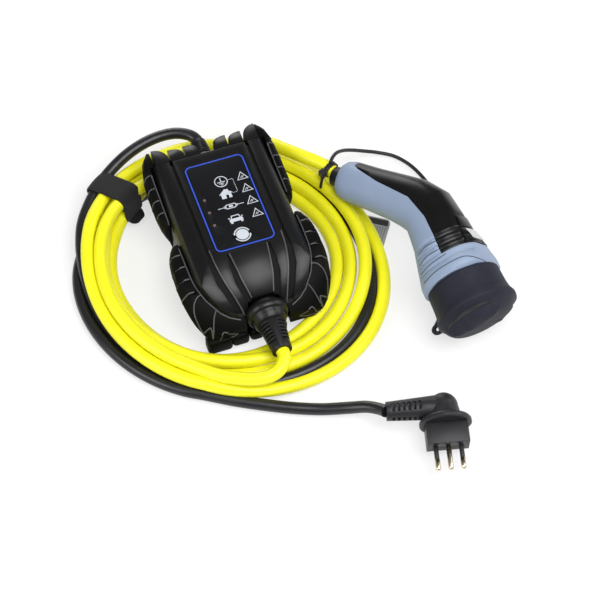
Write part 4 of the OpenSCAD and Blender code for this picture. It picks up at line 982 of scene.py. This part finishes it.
def makeCap(spec):
    rim, ear, wave, end = spec["rim"], spec["ear"], spec["wave"], spec["end"]
    first = spec["rings"][0][0] * mm
    bpy.ops.mesh.primitive_circle_add(vertices=spec["sides"], radius=first, fill_type="NOTHING")
    cap = bpy.context.object
    editAll()
    for (r0, z0), (r1, z1) in zip(spec["rings"], spec["rings"][1:]):
        bpy.ops.mesh.extrude_region_move(TRANSFORM_OT_translate={"value": (0, 0, (z1 - z0) * mm)})
        bpy.ops.transform.resize(value=(r1 / r0, r1 / r0, 1), center_override=(0, 0, z1 * mm))
    bpy.ops.mesh.edge_face_add()
    outward()

    def crumple(p):
        r, z = math.hypot(p.x, p.y) / mm, p.z / mm
        a = math.atan2(p.y, p.x)
        off = (a - math.radians(ear["at"]) + math.pi) % (2 * math.pi) - math.pi
        onRim = hump(z - rim["at"], rim["wide"]) if r > rim["outside"] else 0.0
        grow = ear["reach"] * onRim * hump(off, ear["wide"])
        grow -= rim["slack"] * onRim * (0.5 + 0.5 * math.cos(2 * (a - rim["slackAt"])))
        grow += wave["deep"] * math.sin(3 * a + wave["start"]) * min(1, z / wave["full"])
        lift = -ear["sag"] * onRim * hump(off, ear["sagWide"])
        if z > end["from"]:
            lift += min(1, (z - end["from"]) / end["run"]) * endLift(p.x / mm, p.y / mm, end)
        k = (r + grow) / r if r > 0.01 else 1
        return Vector((p.x * k, p.y * k, p.z + lift * mm))
    moveVerts(cap, crumple)
    addWall(cap, spec["wall"], -1)
    addSoft(cap, 1)
    applyAll(cap)
    return cap


def makeCapLug(spec):  # moulded eye that the tether is tied to
    bpy.ops.mesh.primitive_torus_add(major_radius=spec["ring"] * mm, minor_radius=spec["wire"] * mm,
                                     major_segments=28, minor_segments=12)
    lug = bpy.context.object
    lug.location = Vector(spec["at"]) * mm
    lug.rotation_euler = (math.radians(90), 0, 0)
    lug.scale = spec["stretch"]
    putDown(lug)
    bpy.ops.mesh.primitive_uv_sphere_add(segments=20, ring_count=12, radius=spec["root"] * mm,
                                         location=Vector(spec["rootAt"]) * mm)
    root = bpy.context.object
    root.scale = spec["rootStretch"]
    putDown(root)
    return joinAll([lug, root], "capLug")


dustCap = joinAll([makeCap(capSpec), makeCapLug(lugSpec)], "dustCap")
dustCap.matrix_world = noseFrame @ moved(0, -capSpec["start"], 0) @ turned(90, "X")
putDown(dustCap)
smoothBy(dustCap, 50)
finishPiece(dustCap, "dustCap", finishes["cap_rubber"], "dust_cap", ("dust_cap",))
print("cap folded")


# collar: fine dark lines between the ribs and along the step

collarSpec = {"wide": 1.0, "sunk": 0.15, "gap": 1.5, "lines": [  # in picture points, left to right
    [(418.5, 255), (425.5, 246.5), (436.5, 240.5)], [(419.5, 266), (427.5, 256), (442, 247.5)],
    [(421, 274.5), (430.5, 264.5), (446, 253.5)],
    [(424, 283), (437.5, 270), (457, 258.5), (468.5, 256), (481.5, 259.5), (494, 267)]]}


def seenOn(surface, x, y):  # where the camera's ray through a picture point meets a piece
    half = cameraSpec["picture"] / 2
    k = cameraSpec["lens"] / cameraSpec["sensor"] * cameraSpec["picture"]
    way = eyeFrame.to_3x3() @ Vector(((x - half) / k, (half - y) / k, -1)).normalized()
    return surface.ray_cast(eyeFrame.translation, way)[:2]


def layCollarLines(spec, carrier):
    surface = surfaceOf(carrier)
    parts = []
    for line in spec["lines"]:
        points = smoothRoute([(x, y, 0) for x, y in line], spec["gap"]) / mm
        hits = [seenOn(surface, x, y) for x, y, _ in points]
        route = np.array([spot - normal * spec["sunk"] * mm for spot, normal in hits if spot])
        parts.append(layLead("line", route, spec["wide"], 2))
    return joinAll(parts, "collarLines")


collarShade = moulded("collarShade", (0.045, 0.060, 0.090), (0.070, 0.090, 0.130), 0.6, 2300, 0.05)
collarLines = layCollarLines(collarSpec, dressed["handleShell"])
finishPiece(collarLines, "collarLines", collarShade, "charger")
print("collar lines laid")


# tag and label

tagSpec = {"at": (127.5, -11, 0.08), "turn": 146, "size": (36, 33), "inner": 10, "corner": 4, "thick": 0.45,
           "sunk": 0.02, "band": {"low": 1.2, "top": 6.6, "left": (1.8, 1.2), "right": 1, "thick": 0.06},
           "rules": {"count": 8, "first": 2.4, "pitch": 2.1, "wide": 0.6, "low": 8.2, "top": 29.5, "room": 2,
                     "thick": 0.05}}
tagFrame = moved(*tagSpec["at"]) @ turned(tagSpec["turn"], "Z")


def tagOutline(s):  # slanted where it goes under the coil, clear of the lead on the floor
    r, (wide, high) = s["corner"], s["size"]
    low = [polar(r, 180 + 90 * k / 8, (r, r)) for k in range(9)]
    top = [polar(r, 90 + 90 * k / 8, (r, high - r)) for k in range(9)]
    return low + [(wide, 0), (s["inner"], high)] + top


def tagEdge(s, up):  # how far the tag reaches under the coil
    return s["size"][0] - (s["size"][0] - s["inner"]) * up / s["size"][1]


def onTag(shape, name, finish, nodes=()):
    shape.matrix_world = tagFrame
    putDown(shape)
    return finishPiece(shape, name, finish, "charger", nodes)


# a dark band across the tag near its long lower edge
def tagBand(s):
    b = s["band"]
    corners = [(b["left"][0], b["low"]), (tagEdge(s, b["low"]) - b["right"], b["low"]),
               (tagEdge(s, b["top"]) - b["right"], b["top"]), (b["left"][1], b["top"])]
    return flatShape(corners, s["thick"] - s["sunk"], b["thick"])


def tagRules(s):  # ruled lines of uneven length
    rules, (wide, high) = s["rules"], s["size"]
    parts = []
    for k in range(rules["count"]):
        u = rules["first"] + rules["pitch"] * k
        top = min(rules["top"], (wide - u) / (wide - s["inner"]) * high - rules["room"]) - (3 * k) % 4
        line = box2(u, rules["low"], u + rules["wide"], top)
        parts.append(flatShape(line, s["thick"] - s["sunk"], rules["thick"]))
    return joinAll(parts, "tagRuling")


card = flatShape(tagOutline(tagSpec), 0, tagSpec["thick"])
cableTag = onTag(card, "cableTag", finishes["tag_card"], ("cable_tag",))
tagDarkBand = onTag(tagBand(tagSpec), "tagDarkBand", tagBandDark)
ruled = onTag(tagRules(tagSpec), "tagRuling", inkGrey)
labelSpec = {"along": (-46.5, -37), "across": (-10, 9), "cells": (8, 14), "thick": 0.12, "lift": 0.08,
             "from": 60, "feel": (-3, -1.5, 0, 1.5, 3)}


def layLabel(spec, carrier):  # thin sheet that follows the plate's top
    surface = surfaceOf(carrier)
    bpy.ops.mesh.primitive_grid_add(x_subdivisions=spec["cells"][0], y_subdivisions=spec["cells"][1], size=1)
    sheet = bpy.context.object
    inward = noseFrame.to_3x3() @ Vector((-1, 0, 0))

    def onto(p):
        along = spec["along"][0] + (p.x + 0.5) * (spec["along"][1] - spec["along"][0])
        across = spec["across"][0] + (p.y + 0.5) * (spec["across"][1] - spec["across"][0])
        starts = [noseFrame @ (Vector((spec["from"], along + d, across)) * mm) for d in spec["feel"]]
        gap = min(surface.ray_cast(s, inward)[3] or 1 for s in starts)  # over the ribs' tops
        return starts[len(starts) // 2] + inward * (gap - spec["lift"] * mm)
    moveVerts(sheet, onto)
    addWall(sheet, spec["thick"], 0)
    applyAll(sheet)
    return sheet


noseLabel = layLabel(labelSpec, dressed["nosePlate"])
finishPiece(noseLabel, "noseLabel", labelSilver, "charger")
print("tag and label placed")


# leads: route lengths and the list of pieces that go with the charging lead are worked out, and nothing keeps
# them

matingFace = ("contact_shroud", "contact_carrier", "contact_towers", "power_contacts", "signal_contacts")
onNose = [frame["nodes"][n] for n in matingFace]
onHandle = [dressed[n] for n in ("handleShell", "handleGrip", "nosePlate", "tailBush", "tetherTie")]
routeLength(chargingRoute)
onHandle + [noseLabel, collarLines, coilStrap, cableTag, tagDarkBand, ruled] + onNose
routeLength(mainsRoute)
routeLength(tetherRoute)
